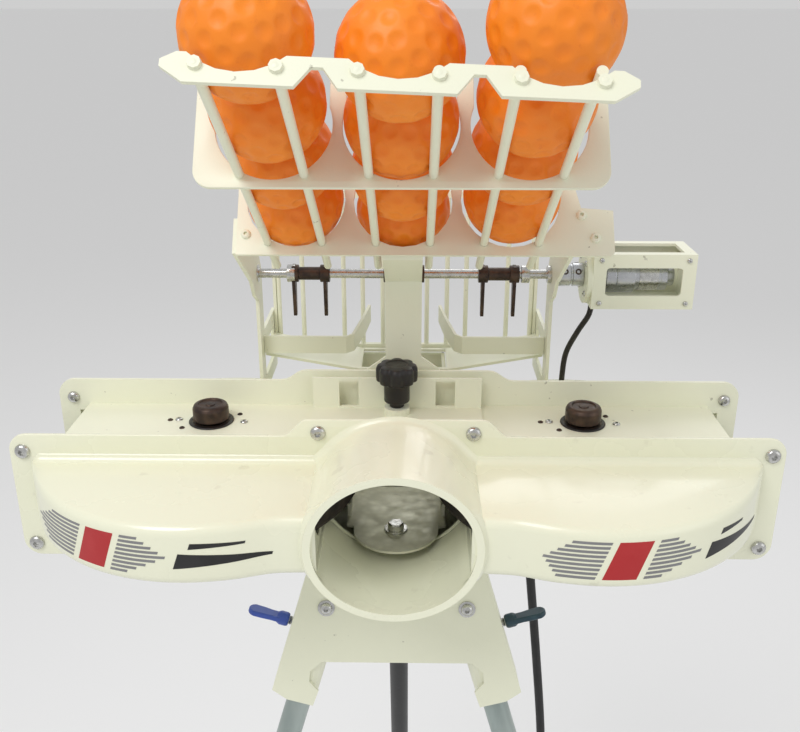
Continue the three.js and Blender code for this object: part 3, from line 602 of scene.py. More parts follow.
def make_plug():
    """Moulded three-pin plug lying on the coil, its cord end at the lead's end."""
    place = TO_ROW @ Matrix.Translation(lead_path[-1]) @ Matrix.Rotation(math.pi, 4, "Z")
    bm = bmesh.new()
    sections = [
        (-1, 6.5, 6.5), (6, 7.2, 7.2), (10, 9.5, 8.5), (15, 13, 10.6), (20, 14, 11.8), (39, 14, 11.8),
        (41.6, 13.2, 11), (42, 12.4, 10.2),
    ]
    steps, squareness = 32, 0.55
    rings = []
    for y, half_x, half_z in sections:
        ring = []
        for k in range(steps):
            a = 2 * math.pi * k / steps
            c, s = math.cos(a), math.sin(a)
            x = half_x * math.copysign(abs(c) ** squareness, c)
            z = half_z * math.copysign(abs(s) ** squareness, s)
            ring.append(bm.verts.new(place @ Vector((x, y, z))))
        rings.append(ring)
    loft(bm, rings)
    for side in (-1, 1):
        for rib in range(5):
            block(bm, place, (side * 13.6, 22 + 3.4 * rib, 0), (1.6, 1.4, 15))
    body = smooth_mesh("plug_body", bm, "black_plastic", "swivel")
    pins = bmesh.new()
    for x, z in ((-6.35, 2), (6.35, 2)):
        block(pins, place, (x, 49, z), (1.5, 18, 6.3))
    earth = place @ Matrix.Translation((0, 0, -7)) @ Matrix.Rotation(-math.pi / 2, 4, "X")
    lathe(pins, rounded([(0, 41), (2.4, 41), (2.4, 58), (1.4, 60), (0, 60)], 0.8), earth, 20)
    metal = smooth_mesh("plug_pins", pins, "bright_steel", "swivel")
    bevel(metal, 0.4, 2)
    return body, metal


plug_body, plug_pins = make_plug()
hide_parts("power_lead", "power_lead_coil")
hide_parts("power_plug")


# ---- covers
WHEEL_X, WHEEL_Y = 151.0, 37.5
BULGE_R = 140.0
BULGE_HALF = 24.0
COVER_HALF = 302.0
FRONT = -3.0  # outer face of the front flange
REAR = 78.3  # outer face of the rear flange
SKIN = 2.6
BLEND_FROM, BLEND_TO = 108, 140  # where the flat middle runs into the bulge


def bulge_reach(x):
    """How far the bulge's round front stands from the wheel axes' plane at an x."""
    return math.sqrt(max(0.0, BULGE_R ** 2 - (abs(x) - WHEEL_X) ** 2))


def bulge_depth(x, face, centre_depth):
    """How far a cover stands out from its flange at an x: the bulge, blended into the flat middle."""
    depth = bulge_reach(x) - abs(face - WHEEL_Y)
    if x < BLEND_TO:
        soft = 5.0 * (1 - ramp(x, BLEND_FROM, BLEND_TO))
        depth = (depth + centre_depth + math.hypot(depth - centre_depth, soft)) / 2
    return max(depth, 0.05)


def bulge_shell(bm, side, start, centre_depth, face, back, corner=8.0, foot=6.0):
    """One side of a cover: a slab that follows the round bulge, with soft corners and foot.

    start(z) is where it begins, centre_depth how far its flat middle stands over the flange, face the
    flange's outer y, and back is 1 where the bulge points to +y.
    """
    end = WHEEL_X + math.sqrt(BULGE_R ** 2 - (face - WHEEL_Y) ** 2) - 0.5
    count, crowding = 70, 1.35
    bend = 5
    middle = 2 * bend + 1
    rows = []
    for k in range(count + 1):
        u = 1 - (1 - k / count) ** crowding
        ring = []
        for part in range(2 * middle + 1):
            upper = part > middle
            step = 2 * middle - part if upper else part
            nominal = BULGE_HALF + (foot if step == 0 else 0)
            x = start(nominal) + (end - start(nominal)) * u
            depth = bulge_depth(x, face, centre_depth)
            c = min(corner, depth * 0.45)
            f = min(foot, depth * 0.45)
            if step <= bend:
                a = math.pi / 2 * step / bend
                z, d = BULGE_HALF + f * (1 - math.sin(a)), f * (1 - math.cos(a))
            elif step < middle:
                a = math.pi / 2 * (step - bend) / bend
                z, d = BULGE_HALF - c * (1 - math.cos(a)), depth - c * (1 - math.sin(a))
            else:
                z, d = 0.0, depth
            z = z if upper else -z
            ring.append(bm.verts.new(row(side * x, face + back * d, z)))
        rows.append(ring)
    for low, high in zip(rows, rows[1:]):
        for a, b, c, d in zip(low, low[1:], high[1:], high):
            bm.faces.new((a, b, c, d))


def thick(made, amount):
    """Gives an open skin a wall behind it, in mm."""
    wall = made.modifiers.new("wall", "SOLIDIFY")
    wall.thickness = amount * MM
    wall.offset = -1


def flat_sheet(name, outlines, low, high, slot, edge=0.5, body="head"):
    """A sheet in the xz plane between two y, from closed outlines of (x, z); later ones are holes."""
    curve = bpy.data.curves.new(name, "CURVE")
    curve.dimensions = "2D"
    curve.fill_mode = "BOTH"
    curve.extrude = (high - low) / 2 * MM - edge * MM
    curve.bevel_depth = edge * MM
    curve.bevel_resolution = 2
    curve.offset = -edge * MM
    for outline in outlines:
        spline = curve.splines.new("POLY")
        spline.points.add(len(outline) - 1)
        for point, (x, z) in zip(spline.points, outline):
            point.co = (x * MM, z * MM, 0, 1)
        spline.use_cyclic_u = True
    holder = bpy.data.objects.new(name, curve)
    bpy.context.collection.objects.link(holder)
    bpy.context.view_layer.update()
    mesh = bpy.data.meshes.new_from_object(holder.evaluated_get(bpy.context.evaluated_depsgraph_get()))
    bpy.data.objects.remove(holder)
    bpy.data.curves.remove(curve)
    stand = Matrix.Rotation(math.pi / 2, 4, "X")
    mesh.transform(Matrix.Translation(HEAD + Vector((0, (low + high) / 2 * MM, 0))) @ stand)
    bm = bmesh.new()
    bm.from_mesh(mesh)
    bmesh.ops.remove_doubles(bm, verts=bm.verts, dist=0.00002)
    bpy.data.meshes.remove(mesh)
    return smooth_mesh(name, bm, slot, body, 50)


def arc(cx, cz, radius, start, end, steps):
    """Points of an arc, angles in degrees."""
    turn = [math.radians(start + (end - start) * k / steps) for k in range(steps + 1)]
    return [(cx + radius * math.cos(a), cz + radius * math.sin(a)) for a in turn]


def cover_outline(half, low, high, step, from_x, to_x, corner):
    """Cover flange outline whose top steps up in the middle through two S-bends."""
    rise = [(to_x + (from_x - to_x) * k / 12, high + step * ramp(k / 12, 0, 1)) for k in range(13)]
    left = [(-x, z) for x, z in reversed(rise)]
    return (
        arc(half - corner, low + corner, corner, -90, 0, 8)
        + arc(half - corner, high - corner, corner, 0, 90, 8)
        + rise + left
        + arc(-half + corner, high - corner, corner, 90, 180, 8)
        + arc(-half + corner, low + corner, corner, 180, 270, 8)
    )


BORE_R = 53.2
MUZZLE_R = 55.5
MUZZLE_WALL = 5.6
MUZZLE_OVAL = 1.1  # wider than high
NOSE_DEPTH = 85.0
REAR_DEPTH = 71.7


def front_cover():
    flange = cover_outline(COVER_HALF, FLANGE_LOW, high=46, step=14, from_x=68, to_x=88, corner=14)
    hole = [(x * MUZZLE_OVAL, z) for x, z in arc(0, 0, BORE_R, 0, 357, 119)]
    sheet = flat_sheet("cover_flange", [flange, hole], FRONT, 0, "cover_gloss", 0.7)
    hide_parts("front_cover")
    for side, name in SIDES:
        bm = bmesh.new()
        bulge_shell(bm, side, lambda z: MUZZLE_OVAL * math.sqrt(MUZZLE_R ** 2 - z * z), NOSE_DEPTH, FRONT, -1)
        skin = smooth_mesh("cover_bulge_" + name, bm, "cover_gloss", angle=60)
        thick(skin, SKIN)
    bm = bmesh.new()
    lip = [(0, y) for y in (-93, -91.8, -90.5, -89, -87.5, -80, -60, -42, -24, -9)]
    lip += [(0.6, -6.5), (2.2, -4.4), (5.0, -3.2)]
    steps = 120
    rings = []
    for flare, y in lip:
        ring = []
        for k in range(steps):
            a = 2 * math.pi * k / steps
            collar = 3.2 * ramp(y, -92, -87) * ramp(abs(math.cos(a)), 0.82, 0.94)
            r = MUZZLE_R + MUZZLE_WALL / 2 + flare + collar
            ring.append(bm.verts.new(row(r * MUZZLE_OVAL * math.cos(a), y, r * math.sin(a))))
        rings.append(ring)
    for low, high in zip(rings, rings[1:]):
        for k in range(steps):
            n = (k + 1) % steps
            middle = sum((v.co for v in (low[k], low[n], high[n], high[k])), Vector()) / 4
            inside_bulge = (middle.y - HEAD.y) / MM > -42 and abs(middle.z - HEAD.z) / MM < 21
            if not inside_bulge:
                bm.faces.new((low[k], low[n], high[n], high[k]))
    muzzle = smooth_mesh("muzzle", bm, "cover_gloss", angle=60)
    thick(muzzle, MUZZLE_WALL)
    bevel(muzzle, 2.2, 4, 50)


front_cover()


def rear_cover():
    flange = cover_outline(287, FLANGE_LOW, high=58, step=9, from_x=76, to_x=98, corner=14)
    way = [(-40, -37.5), (40, -37.5), (40, 39), (-40, 39)]
    sheet = flat_sheet("rear_flange", [flange, way], REAR - 3, REAR, "cover_gloss", 0.7)
    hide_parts("rear_cover")
    for side, name in SIDES:
        bm = bmesh.new()
        bulge_shell(bm, side, lambda z: 42.5, REAR_DEPTH, REAR, 1)
        skin = smooth_mesh("rear_bulge_" + name, bm, "cover_gloss", angle=60)
        thick(skin, SKIN)
    bm = bmesh.new()
    walls = [
        ((-44, 76.5, -42), (44, 196, -37.5)),
        ((-44, 76.5, -42), (-40, 196, 42)),
        ((40, 76.5, -42), (44, 196, 42)),
        ((-44, 192, -42), (44, 196, 42)),
        ((-44, 76.5, 39), (44, 104, 42)),
    ]
    for low, high in walls:
        middle = [(a + b) / 2 for a, b in zip(low, high)]
        block(bm, TO_ROW, middle, [b - a for a, b in zip(low, high)])
    trough = smooth_mesh("feed_trough", bm, "cover_gloss")
    bevel(trough, 1.2)


rear_cover()


# ---- screws and other fasteners
def button_head(name, at, axis, radius=6.0, slot="bright_steel", body="head", high=3.4):
    """Round-headed screw with a hexagon socket."""
    place = frame_to(at, axis)
    bm = bmesh.new()
    key = radius * 0.42
    dome = [(radius, 0), (radius, 0.25 * high), (radius * 0.93, 0.58 * high), (radius * 0.74, 0.86 * high),
            (key * 1.15, high)]
    steps = 36
    rings = [hoop(bm, place, Vector((0, 0, z)), r, steps) for r, z in dome]
    for z in (high, 0.3 * high):
        ring = []
        for k in range(steps):
            a = 2 * math.pi * k / steps
            flat = key * math.cos(math.pi / 6) / math.cos((a % (math.pi / 3)) - math.pi / 6)
            ring.append(bm.verts.new(place @ Vector((flat * math.cos(a), flat * math.sin(a), z))))
        rings.append(ring)
    loft(bm, rings)
    return smooth_mesh(name, bm, slot, body, 50)


def hex_bolt(name, at, axis, across, body="head"):
    """Hexagon head over a washer, with a softened crown."""
    place = frame_to(at, axis)
    bm = bmesh.new()
    washer = 1.2
    lathe(bm, rounded([(0, 0), (across * 0.85, 0), (across * 0.85, washer), (0, washer)], 0.3), place, 36)
    reach = across / 2 / math.cos(math.pi / 6)
    six = [(reach * math.cos(math.pi / 3 * k), reach * math.sin(math.pi / 3 * k)) for k in range(6)]
    prism(bm, six, washer, washer + across * 0.45, place)
    bevel(smooth_mesh(name, bm, "bright_steel", body), 0.6, 2)


FORWARD = (0, -1, 0)
for height, z in (("low", -50.5), ("top", 31.7)):
    for side, hand in SIDES:
        name = f"{height}_{hand}"
        screw = button_head("cover_screw_" + name, (side * 291.5, FRONT, z), FORWARD)
        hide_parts("cover_screw_" + name)
for side, name in SIDES:
    button_head("cover_screw_inner_" + name, (side * 60, FRONT, 49), FORWARD)
for side, name in SIDES:
    button_head("rear_screw_" + name, (side * 275, 71.8, 46), FORWARD, 5)


# ---- practice balls
BALL_R = 36.2
BALL_H = 34.0
PITCH = 72.0
SLOPE = math.radians(34.45)
RACK_AT = (5, 31.8, 189.9)
RACK = TO_ROW @ Matrix.Translation(RACK_AT) @ Matrix.Rotation(-SLOPE, 4, "X")
BALLS = 4  # in each row
ROWS = (("left", -81, -4.5), ("mid", 0, 16.6), ("right", 81, -12.4))  # name, x, y of the lowest ball


def dimpled_ball():
    """A ball's mesh in metres about its own middle, with shallow round dimples and a moulding seam."""
    count, radius, deep, seam = 104, 4.7, 1.3, 0.12
    bm = bmesh.new()
    bmesh.ops.create_icosphere(bm, subdivisions=6, radius=1)
    points = np.array([v.co[:] for v in bm.verts])
    k = np.arange(count) + 0.5
    tall = 1 - 2 * k / count
    spin = math.pi * (1 + 5 ** 0.5) * k
    flat = np.sqrt(1 - tall ** 2)
    hollows = np.stack([flat * np.cos(spin), flat * np.sin(spin), tall], 1)
    nearest = np.arccos(np.clip((points @ hollows.T).max(1), -1, 1)) * BALL_R
    inside = np.clip(1 - (nearest / radius) ** 2, 0, 1)
    skin = BALL_R - deep * inside ** 0.9 + seam * np.exp(-((points[:, 1] * BALL_R / 0.5) ** 2))
    for vert, r in zip(bm.verts, skin):
        vert.co *= r * MM
    for face in bm.faces:
        face.smooth = True
    mesh = bpy.data.meshes.new("practice_ball")
    bm.to_mesh(mesh)
    bm.free()
    mesh.materials.append(LOOK["ball_orange"])
    return mesh


ball_mesh = dimpled_ball()
for name, x, first in ROWS:
    for k in range(BALLS):
        ball = bpy.data.objects.new(f"ball_{name}_{k + 1}", ball_mesh)
        bpy.context.collection.objects.link(ball)
        spin = Matrix.Rotation(1.3 * k + x, 4, (0.3, 0.8, 0.52))
        middle = Matrix.Translation((x, first - PITCH * k, BALL_H))
        ball.matrix_world = RACK @ middle @ spin @ Matrix.Scale(1 / MM, 4)
        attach(ball, "balls_" + name)
        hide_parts("ball_row_" + name)


# ---- ball rack
RAIL_OUT = 20.3  # from a row's middle to each of its rods
RAIL_TOP, RAIL_END = -241.2, 51
MID_PLATE = -118.7

rail_mesh = bmesh.new()
for name, x, first in ROWS:
    for side in (-1, 1):
        rod_x = x + RAIL_OUT * side
        tube(rail_mesh, [(rod_x, RAIL_TOP, 0), (rod_x, RAIL_END, 0)], 3.0, RACK, 24)
        tip = RACK @ Matrix.Translation((rod_x, RAIL_END, 0)) @ Matrix.Rotation(-math.pi / 2, 4, "X")
        lathe(rail_mesh, rounded([(0, 0), (3, 0), (2.2, 1), (0, 1)], 0.5), tip, 24)
rails = smooth_mesh("rack_rods", rail_mesh, "frame_cream")


def scooped(half, z_low, z_high, corner, radius=37.4):
    """Rack plate outline with three round scoops open at the top, in the rack's own x and z."""
    points = arc(half - corner, z_low + corner, corner, -90, 0, 8)
    points += arc(half - corner, z_high - corner, corner, 0, 90, 8)
    mouth = radius * 0.94
    for name, x, first in reversed(ROWS):
        points += [(x + mouth, z_high)] + arc(x, BALL_H, radius, 20, -200, 40) + [(x - mouth, z_high)]
    points += arc(corner - half, z_high - corner, corner, 90, 180, 8)
    points += arc(corner - half, z_low + corner, corner, 180, 270, 8)
    return points


def rack_sheet(name, outlines, y):
    """A 3 mm rack sheet built upright in the head frame, then moved into the sloping rack."""
    made = flat_sheet(name, outlines, y - 1.5, y + 1.5, "frame_cream", 0.5, body=None)
    made.data.transform(RACK @ TO_ROW.inverted())
    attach(made, "head")


rack_sheet("rack_mid_plate", [scooped(131, -9, 74, 12)], MID_PLATE)
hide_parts("rack_rails")


# ---- wheels
UP = (0, 0, 1)
BOLT_RING = 48
for side, name in SIDES:
    hub = (side * WHEEL_X, WHEEL_Y, 0)
    wheel = "wheel_" + name
    tread = [(98.3, -20), (112, -20), (115, -19), (119, -14.5), (121, -11), (121, 11), (119, 14.5), (115, 19),
             (112, 20), (98.3, 20)]
    bm = bmesh.new()
    lathe(bm, rounded(tread, 1.5) + [tread[-1]], frame_to(hub, UP), 128)
    tyre = smooth_mesh("tyre_" + name, bm, "wheel_tyre", wheel)
    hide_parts("tyre_" + name)
    cup = [(7.3, -18), (98, -18), (98, 18), (93, 18), (93, -13), (24, -13), (20, -11), (20, -6), (7.3, -6)]
    bm = bmesh.new()
    lathe(bm, rounded(cup, 0.8), frame_to(hub, UP), 96)
    for k in range(6):
        a = math.pi / 3 * k
        spot = (hub[0] + BOLT_RING * math.cos(a), hub[1] + BOLT_RING * math.sin(a), 0)
        lathe(bm, rounded([(0, -13.2), (5.5, -13.2), (5.5, -9.5), (0, -9.5)], 0.6), frame_to(spot, UP), 24)
    rim = smooth_mesh("rim_" + name, bm, "cast_alloy", wheel)
    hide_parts("rim_" + name)
    cap = [(0, -24), (7, -24), (7, 42), (14.5, 43), (14.5, 52.2), (13.4, 54.6), (11.6, 55.6), (9.6, 55.8),
           (9.2, 54.6), (4.2, 54.6), (3.8, 55.4), (0, 55.6)]
    spindle = turned("spindle_" + name, cap, hub, UP, "dark_steel", wheel, 56, 0.5)
    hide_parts("spindle_" + name)
    turned("spindle_seal_" + name, [(15.2, 40.2), (18.2, 40.2), (18.2, 40.8), (17.4, 41.4), (15.2, 41.4)],
           hub, UP, "black_plastic", "head", 56, 0.4)
    marks = ((-27, 2, 3.2), (27, -2, 3.2), (-21, -14, 2.2), (21, 13, 2.2), (-34, 1, 2.2))
    for k, (dx, dy, size) in enumerate(marks):
        button_head(f"motor_screw_{name}_{k + 1}", (hub[0] + dx, hub[1] + dy, 40), UP, size,
                    "dark_steel" if size < 3 else "bright_steel", "head", size * 0.5)


# ---- knob, dials and switch
def fluted(name, profile, at, axis, slot, body, lobes, depth, from_r, steps=96):
    """Turned piece whose rim is cut by rounded flutes."""
    bm = bmesh.new()
    lathe(bm, rounded(profile, 1.0), Matrix.Identity(4), steps)
    for vert in bm.verts:
        r = math.hypot(vert.co.x, vert.co.y)
        if r > from_r:
            a = math.atan2(vert.co.y, vert.co.x)
            dip = depth * (0.5 - 0.5 * math.cos(lobes * a)) ** 2
            vert.co.x *= (r - dip) / r
            vert.co.y *= (r - dip) / r
    bm.transform(frame_to(at, axis))
    return smooth_mesh(name, bm, slot, body, 50)


knob = fluted(
    "guide_knob",
    [(0, 0), (6, 0), (6, 4), (10.5, 5), (10.5, 20), (13, 21.5), (16.5, 22.5), (17, 26), (17, 33),
     (15.5, 36.3), (9, 37), (8.2, 36.2), (0, 36.2)],
    (0, 49, 49.3), UP, "black_plastic", "knob", lobes=8, depth=2.2, from_r=11.5)
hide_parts("guide_clamp_knob")
DIAL_X = 36
for side, name in SIDES:
    dial = fluted(
        "dial_" + name, [(0, 0.3), (15, 0.3), (15, 3), (13.6, 4), (13.2, 15), (11.8, 17), (0, 17)],
        (side * DIAL_X, 190, -72), (0, 1, 0), "black_plastic", "dial_" + name,
        lobes=18, depth=0.8, from_r=12.6)
    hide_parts("speed_dial_" + name)
    mark = bmesh.new()
    block(mark, TO_ROW, (side * DIAL_X, 207, -66), (1.6, 0.5, 9))
    pointer = smooth_mesh("dial_mark_" + name, mark, "cast_alloy", "dial_" + name)


# ---- finger feeder
SHAFT_Y, SHAFT_Z = 120.0, 141.6
FEED_X = 5.0
RIGHT = (1, 0, 0)
MOTOR_X = 160.5
GUARD_Y = 198
BLADE_OUT, BLADE_THICK = 13.4, 3.0


def feed_at(x, y=0.0, z=0.0):
    """A point of the head's frame counted from the middle of the feeder shaft."""
    return (FEED_X + x, SHAFT_Y + y, SHAFT_Z + z)


def along_x(name, profile, x, slot, body, steps=40, soft=0.4):
    """Piece turned about the feeder shaft's line, heights counted from x."""
    return turned(name, profile, feed_at(x), RIGHT, slot, body, steps, soft)


shaft = along_x("feeder_rod", [(0, 0), (3.4, 0), (4, 0.8), (4, 273.4), (3.4, 274), (0, 274)], -134,
                "bright_steel", "feed_shaft")
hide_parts("feed_shaft")
collars = bmesh.new()
for x in (-131.5, -100, 100, 122.2):
    lathe(collars, rounded([(4, 0), (7.6, 0), (7.6, 7), (4, 7)], 0.6), frame_to(feed_at(x), RIGHT), 32)
smooth_mesh("shaft_collars", collars, "bright_steel", "feed_shaft")

TURNS = {"left": math.pi, "mid": 1.35, "right": math.pi}
for name, x, first in ROWS:
    bm = bmesh.new()
    hub = frame_to(feed_at(x - 17.4), RIGHT)
    sleeve = [(4.3, 0), (7.5, 0), (7.5, 8), (5.6, 8.4), (5.6, 26.4), (7.5, 26.8), (7.5, 34.8), (4.3, 34.8)]
    lathe(bm, rounded(sleeve, 0.5), hub, 32)
    turn = Matrix.Rotation(TURNS[name], 4, "X")
    stand = Matrix(((0, 0, 1, 0), (1, 0, 0, 0), (0, 1, 0, 0), (0, 0, 0, 1)))
    place = TO_ROW @ Matrix.Translation(feed_at(x)) @ turn @ stand
    edge = [(4.6, -7.2), (5.8, 6), (2.4, 36.4), (1.5, 37.8)]
    blade = edge + [(-y, z) for y, z in reversed(edge)]
    for out in (-BLADE_OUT, BLADE_OUT):
        prism(bm, blade, out - BLADE_THICK / 2, out + BLADE_THICK / 2, place)
    fingers = smooth_mesh("fingers_" + name, bm, "dark_steel", "feed_shaft")
    bevel(fingers, 0.4, 2, 50)
    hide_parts("feed_fingers_" + name)

coupling = along_x(
    "coupling",
    [(4, 0), (9.4, 0), (10, 0.6), (10, 9.2), (9, 9.7), (9, 11), (10, 11.5), (10, 20.1), (9.4, 20.7),
     (5, 20.7), (5, 28), (0, 28)],
    132, "cast_alloy", "feed_shaft", 48, 0.25)
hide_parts("shaft_coupling")
for k, x in enumerate((136.5, 147.5)):
    bm = bmesh.new()
    for turn in (0.5, 2.2):
        y, z = math.cos(turn) * -9.7, math.sin(turn) * 9.7
        place = frame_to(feed_at(x, y, z), (0, y, z))
        lathe(bm, [(0, -1), (2.6, -1), (2.6, 0.5), (1.4, 0.5), (1.2, -0.4), (0, -0.4)], place, 20)
    smooth_mesh(f"coupling_screws_{k + 1}", bm, "dark_steel", "feed_shaft")

gear = along_x(
    "gear_motor",
    [(0, 0), (8.5, 0), (8.5, 6), (15, 6.4), (15, 9), (14.4, 9.6), (15, 10.2), (15, 18), (14.4, 18.6),
     (15, 19.2), (15, 34), (12.5, 34.4), (12.5, 56), (12.9, 56.4), (12.9, 61.4), (12.5, 62), (9, 62),
     (9, 68), (0, 68)],
    MOTOR_X, "cast_alloy", "head", 56, 0.3)
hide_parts("feed_gear_motor")
along_x("motor_sleeve", [(12.6, 38), (12.9, 38), (12.9, 54), (12.6, 54)], MOTOR_X, "bright_steel", "head")

along_x("mount_disc", [(9.2, 0), (24.3, 0), (24.3, 4.6), (9.2, 4.6)], 152.7, "frame_cream", "head", 56, 0.7)
for k in range(4):
    a = math.radians(45 + 90 * k)
    y, z = 18.5 * math.cos(a), 18.5 * math.sin(a)
    button_head(f"mount_screw_{k + 1}", feed_at(153, y, z), (-1, 0, 0), 2.6, high=1.8)
for k in range(2):
    for side in (-1, 1):
        spot = feed_at(163.5 + 72 * k, -23.6, 18.4 * side)
        button_head(f"housing_screw_{2 * k + (side + 3) // 2}", spot, FORWARD, 2.2, high=1.4)

guard = bmesh.new()
for x in (21, 40, 58, 97, 120):
    for side in (-1, 1):
        wire_x = FEED_X + side * x
        tube(guard, [(wire_x, GUARD_Y, 44.5), (wire_x, GUARD_Y, 197.5)], 2.2, TO_ROW, 20)
smooth_mesh("guard_wires", guard, "frame_cream")

wire = [(162, 120, 117.5), (161, 121, 106), (153, 126, 88), (145, 131, 66), (143, 132, 44), (143, 132, 24.6)]
feed_path = smooth_path([(FEED_X + x, y, z) for x, y, z in wire], 4)
feed_wire = bmesh.new()
tube(feed_wire, feed_path, 2.5, TO_ROW, 14)
feed_lead = smooth_mesh("feeder_wire", feed_wire, "black_plastic", angle=80)
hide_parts("feed_motor_lead")


# ---- tripod legs, feet and clamps
joints = {joint["name"]: joint for joint in frame["joints"]}
LEG_R = {"left": 11.0, "right": 11.0, "rear": 9.5}
for name, radius in LEG_R.items():
    down = Vector(joints[f"leg_{name}_slide"]["axis"]).normalized()
    screw = Vector(joints[f"leg_{name}_clamp"]["pos_m"])
    out = Vector(joints[f"leg_{name}_clamp"]["axis"]).normalized()
    at = TO_ROW.inverted() @ screw
    reach = screw.z / -down.z / MM
    top = 20.7 if name == "rear" else 40.7
    slot = "black_coat" if name == "rear" else "leg_steel"
    wall = [(radius - 2, 12 - reach), (radius, 12 - reach), (radius, top), (radius - 2, top)]
    leg = turned("leg_tube_" + name, wall, at, -down, slot, "leg_" + name)
    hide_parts("leg_" + name)
    boot = [(0, -4), (13, -4), (15.4, -2.6), (16, 0), (15.6, 6), (14.9, 7), (15.2, 8), (14.9, 14), (14.2, 15),
            (14.6, 16), (14.3, 26), (13.4, 28), (radius + 0.3, 28), (radius + 0.3, 12), (0, 12)]
    bm = bmesh.new()
    lathe(bm, rounded([(r, h - reach) for r, h in boot], 0.7), frame_to(at, -down), 48)
    for vert in bm.verts:
        vert.co.z = max(vert.co.z, 0.0)
    foot = smooth_mesh("boot_" + name, bm, "foot_rubber", "leg_" + name)
    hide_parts("foot_" + name)

    across = out.cross(-down)
    place = Matrix((out, across, -down)).transposed().to_4x4()
    place.translation = screw
    place = place @ Matrix.Scale(MM, 4)
    bm = bmesh.new()
    thread = [(4.0 if k % 2 else 3.4, 14 + 0.8 * k) for k in range(24)]
    along = place @ Matrix.Rotation(math.pi / 2, 4, "Y")
    lathe(bm, [(0, 13), (3.4, 13)] + thread + [(3.4, 33.5), (0, 33.5)], along, 24)
    smooth_mesh("clamp_thread_" + name, bm, "bright_steel", "clamp_" + name, 60)
    paddle = [(31, -3.4), (33, -5.6), (38, -6.4), (45, -6.2), (52, -7.2)] + arc(58, 0, 8, -70, 70, 12)
    paddle += [(52, 7.2), (45, 6.2), (38, 6.4), (33, 5.6), (31, 3.4)]
    bm = bmesh.new()
    prism(bm, paddle, -2.5, 2.5, place)
    lathe(bm, rounded([(0, 29), (5.2, 29), (6.2, 31), (6.2, 37), (4.5, 40), (0, 40)], 0.8), along, 32)
    # The right lever gets the darkened copy of the blue lever plastic, which is painted shade.
    slot = {"left": "clamp_blue", "right": "clamp_teal", "rear": "bright_steel"}[name]
    lever = smooth_mesh("clamp_paddle_" + name, bm, slot, "clamp_" + name)
    bevel(lever, 1.3, 4)
    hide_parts("leg_clamp_" + name)


# ---- printed stripes
def stripe(bm, left, right, low, high, taper=1.0):
    """A slanted band on the round front of a bulge: x from left to right at z from low to high."""
    count, slant, proud, film = 28, 0.35, 0.2, 0.35
    middle = (low + high) / 2
    rows = []
    for k in range(count + 1):
        u = k / count
        half = (high - low) / 2 * (1 + (taper - 1) * u)
        pair = []
        for z in (middle - half, middle + half):
            x = left + (right - left) * u + slant * z
            y = FRONT - bulge_depth(abs(x), FRONT, NOSE_DEPTH) - proud
            pair.append((bm.verts.new(row(x, y, z)), bm.verts.new(row(x, y + film, z))))
        rows.append(pair)
    for (a, b), (c, d) in zip(rows, rows[1:]):
        bm.faces.new((a[0], c[0], d[0], b[0]))
        bm.faces.new((a[1], b[1], d[1], c[1]))
        bm.faces.new((a[0], a[1], c[1], c[0]))
        bm.faces.new((b[0], d[0], d[1], b[1]))
    for pair in (rows[0], rows[-1]):
        bm.faces.new((pair[0][0], pair[0][1], pair[1][1], pair[1][0]))


def stripes(name, left, break_at, red_to, black_to):
    """Grey speed lines, a red band across them and a black dart that runs on."""
    grey, red, black = bmesh.new(), bmesh.new(), bmesh.new()
    apart = 3.5
    for k in range(-4, 5):
        z = apart * k
        stripe(grey, left + apart * abs(k), break_at - 5, z - 1.0, z + 1.0)
        stripe(grey, red_to + 5, red_to + 42 - 6 * abs(k), z - 1.0, z + 1.0)
    stripe(red, break_at, red_to, -15, 15)
    stripe(black, red_to + 50, black_to, -9, 3, taper=0.18)
    stripe(black, red_to + 56, black_to - 22, 6.5, 11, taper=0.4)
    smooth_mesh("stripe_grey_" + name, grey, STRIPE_GREY)
    smooth_mesh("stripe_red_" + name, red, STRIPE_RED)
    smooth_mesh("stripe_black_" + name, black, STRIPE_BLACK)


stripes("left", -268, -222, -200, -84)
stripes("right", 104, 150, 174, 272)


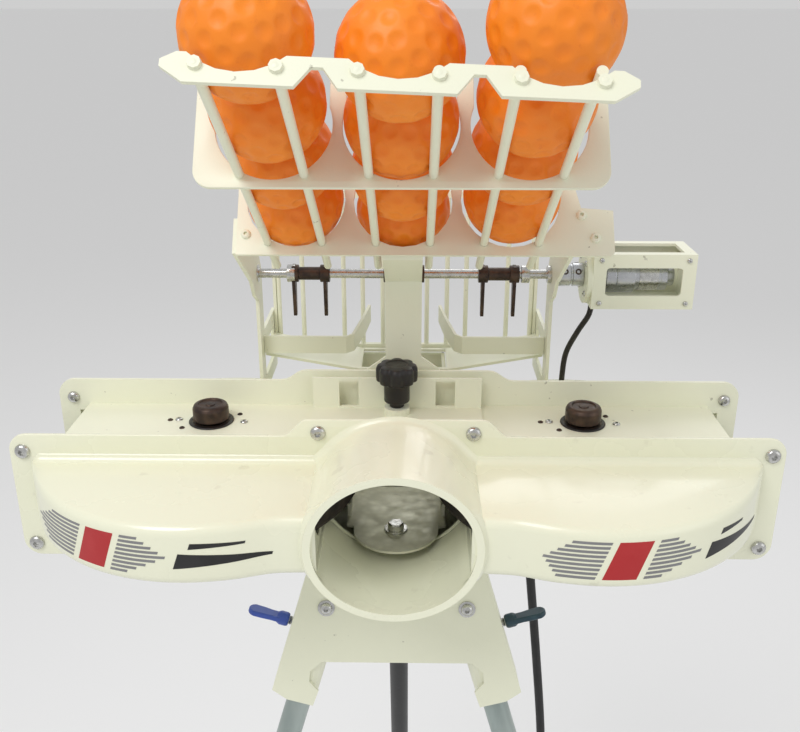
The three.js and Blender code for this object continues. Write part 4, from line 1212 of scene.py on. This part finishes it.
# ---- rivets and bolts
uphill = (RACK.to_3x3() @ Vector(FORWARD)).normalized()
top_plate = RACK @ Matrix.Translation((0, 0, -3.2)) @ Matrix.Rotation(math.radians(2.8), 4, "Y")
dome = [(0, -2), (3.9, -2), (3.9, 0.4), (3.1, 1.8), (1.6, 2.6), (0, 2.8)]
for name, x, first in ROWS:
    for side in (-1, 1):
        spot = TO_ROW.inverted() @ top_plate @ Vector((x + RAIL_OUT * side, -244.4, 0))
        turned(f"rail_rivet_{name}_{(side + 3) // 2}", dome, spot, uphill, "frame_cream", "head", 32, 0.5)

LEAN = math.atan(0.19)
YOKE = TO_ROW @ Matrix.Translation((0, 30, -98)) @ Matrix.Rotation(-LEAN, 4, "X")
yoke_out = YOKE.to_3x3() @ Vector(FORWARD)
for side, name in SIDES:
    at = TO_ROW.inverted() @ YOKE @ Vector((side * 61, 0, -34))
    washer = [(0, 0), (7.4, 0), (7.4, 1.2), (0, 1.2)]
    turned("yoke_washer_" + name, washer, at, yoke_out, "bright_steel", "tripod", 36, 0.3)
    head = at + yoke_out.normalized() * 1.2
    button_head("yoke_bolt_" + name, head, yoke_out, 5.2, "bright_steel", "tripod")
    hex_bolt("tilt_pin_nut_" + name, (side * 26, 60, -80), (side, 0, 0), 13.0, body="swivel")
PLATE_SCREWS = (("left_low", -118, 6), ("left_top", -118, 42), ("right_low", 144, 4), ("right_top", 134, 22))
for name, x, z in PLATE_SCREWS:
    spot = TO_ROW.inverted() @ RACK @ Vector((x, -1.5, z))
    button_head("low_plate_screw_" + name, spot, uphill, 3.8, "frame_cream", high=2.4)
hex_bolt("guide_bolt", (0, 0, -37.5), UP, 11.0)


# ---- the CAD pieces that stay in view
EDGES = {
    0.4: ["rear_guard"],
    0.5: ["ball_guide", "lead_gland"],
    0.6: ["chassis", "centre_bracket", "drop_tray", "deflector_left", "deflector_right", "tilt_pin"],
    0.7: ["rack_low_plate", "rack_top_plate", "feeder_post", "side_frame_left", "side_frame_right",
          "feed_motor_housing"],
    0.8: ["tilt_bracket", "tripod_head", "power_switch"],
    1.0: ["swivel_block", "drive_motor_left", "drive_motor_right"],
    1.6: ["control_box"],
}
for name, node in frame["nodes"].items():
    slot = node.data.materials[0].name.split(".")[0]
    node.data.materials[0] = LOOK[slot]
for width, names in EDGES.items():
    for name in names:
        bevel(frame["nodes"][name], width, 2, 50)
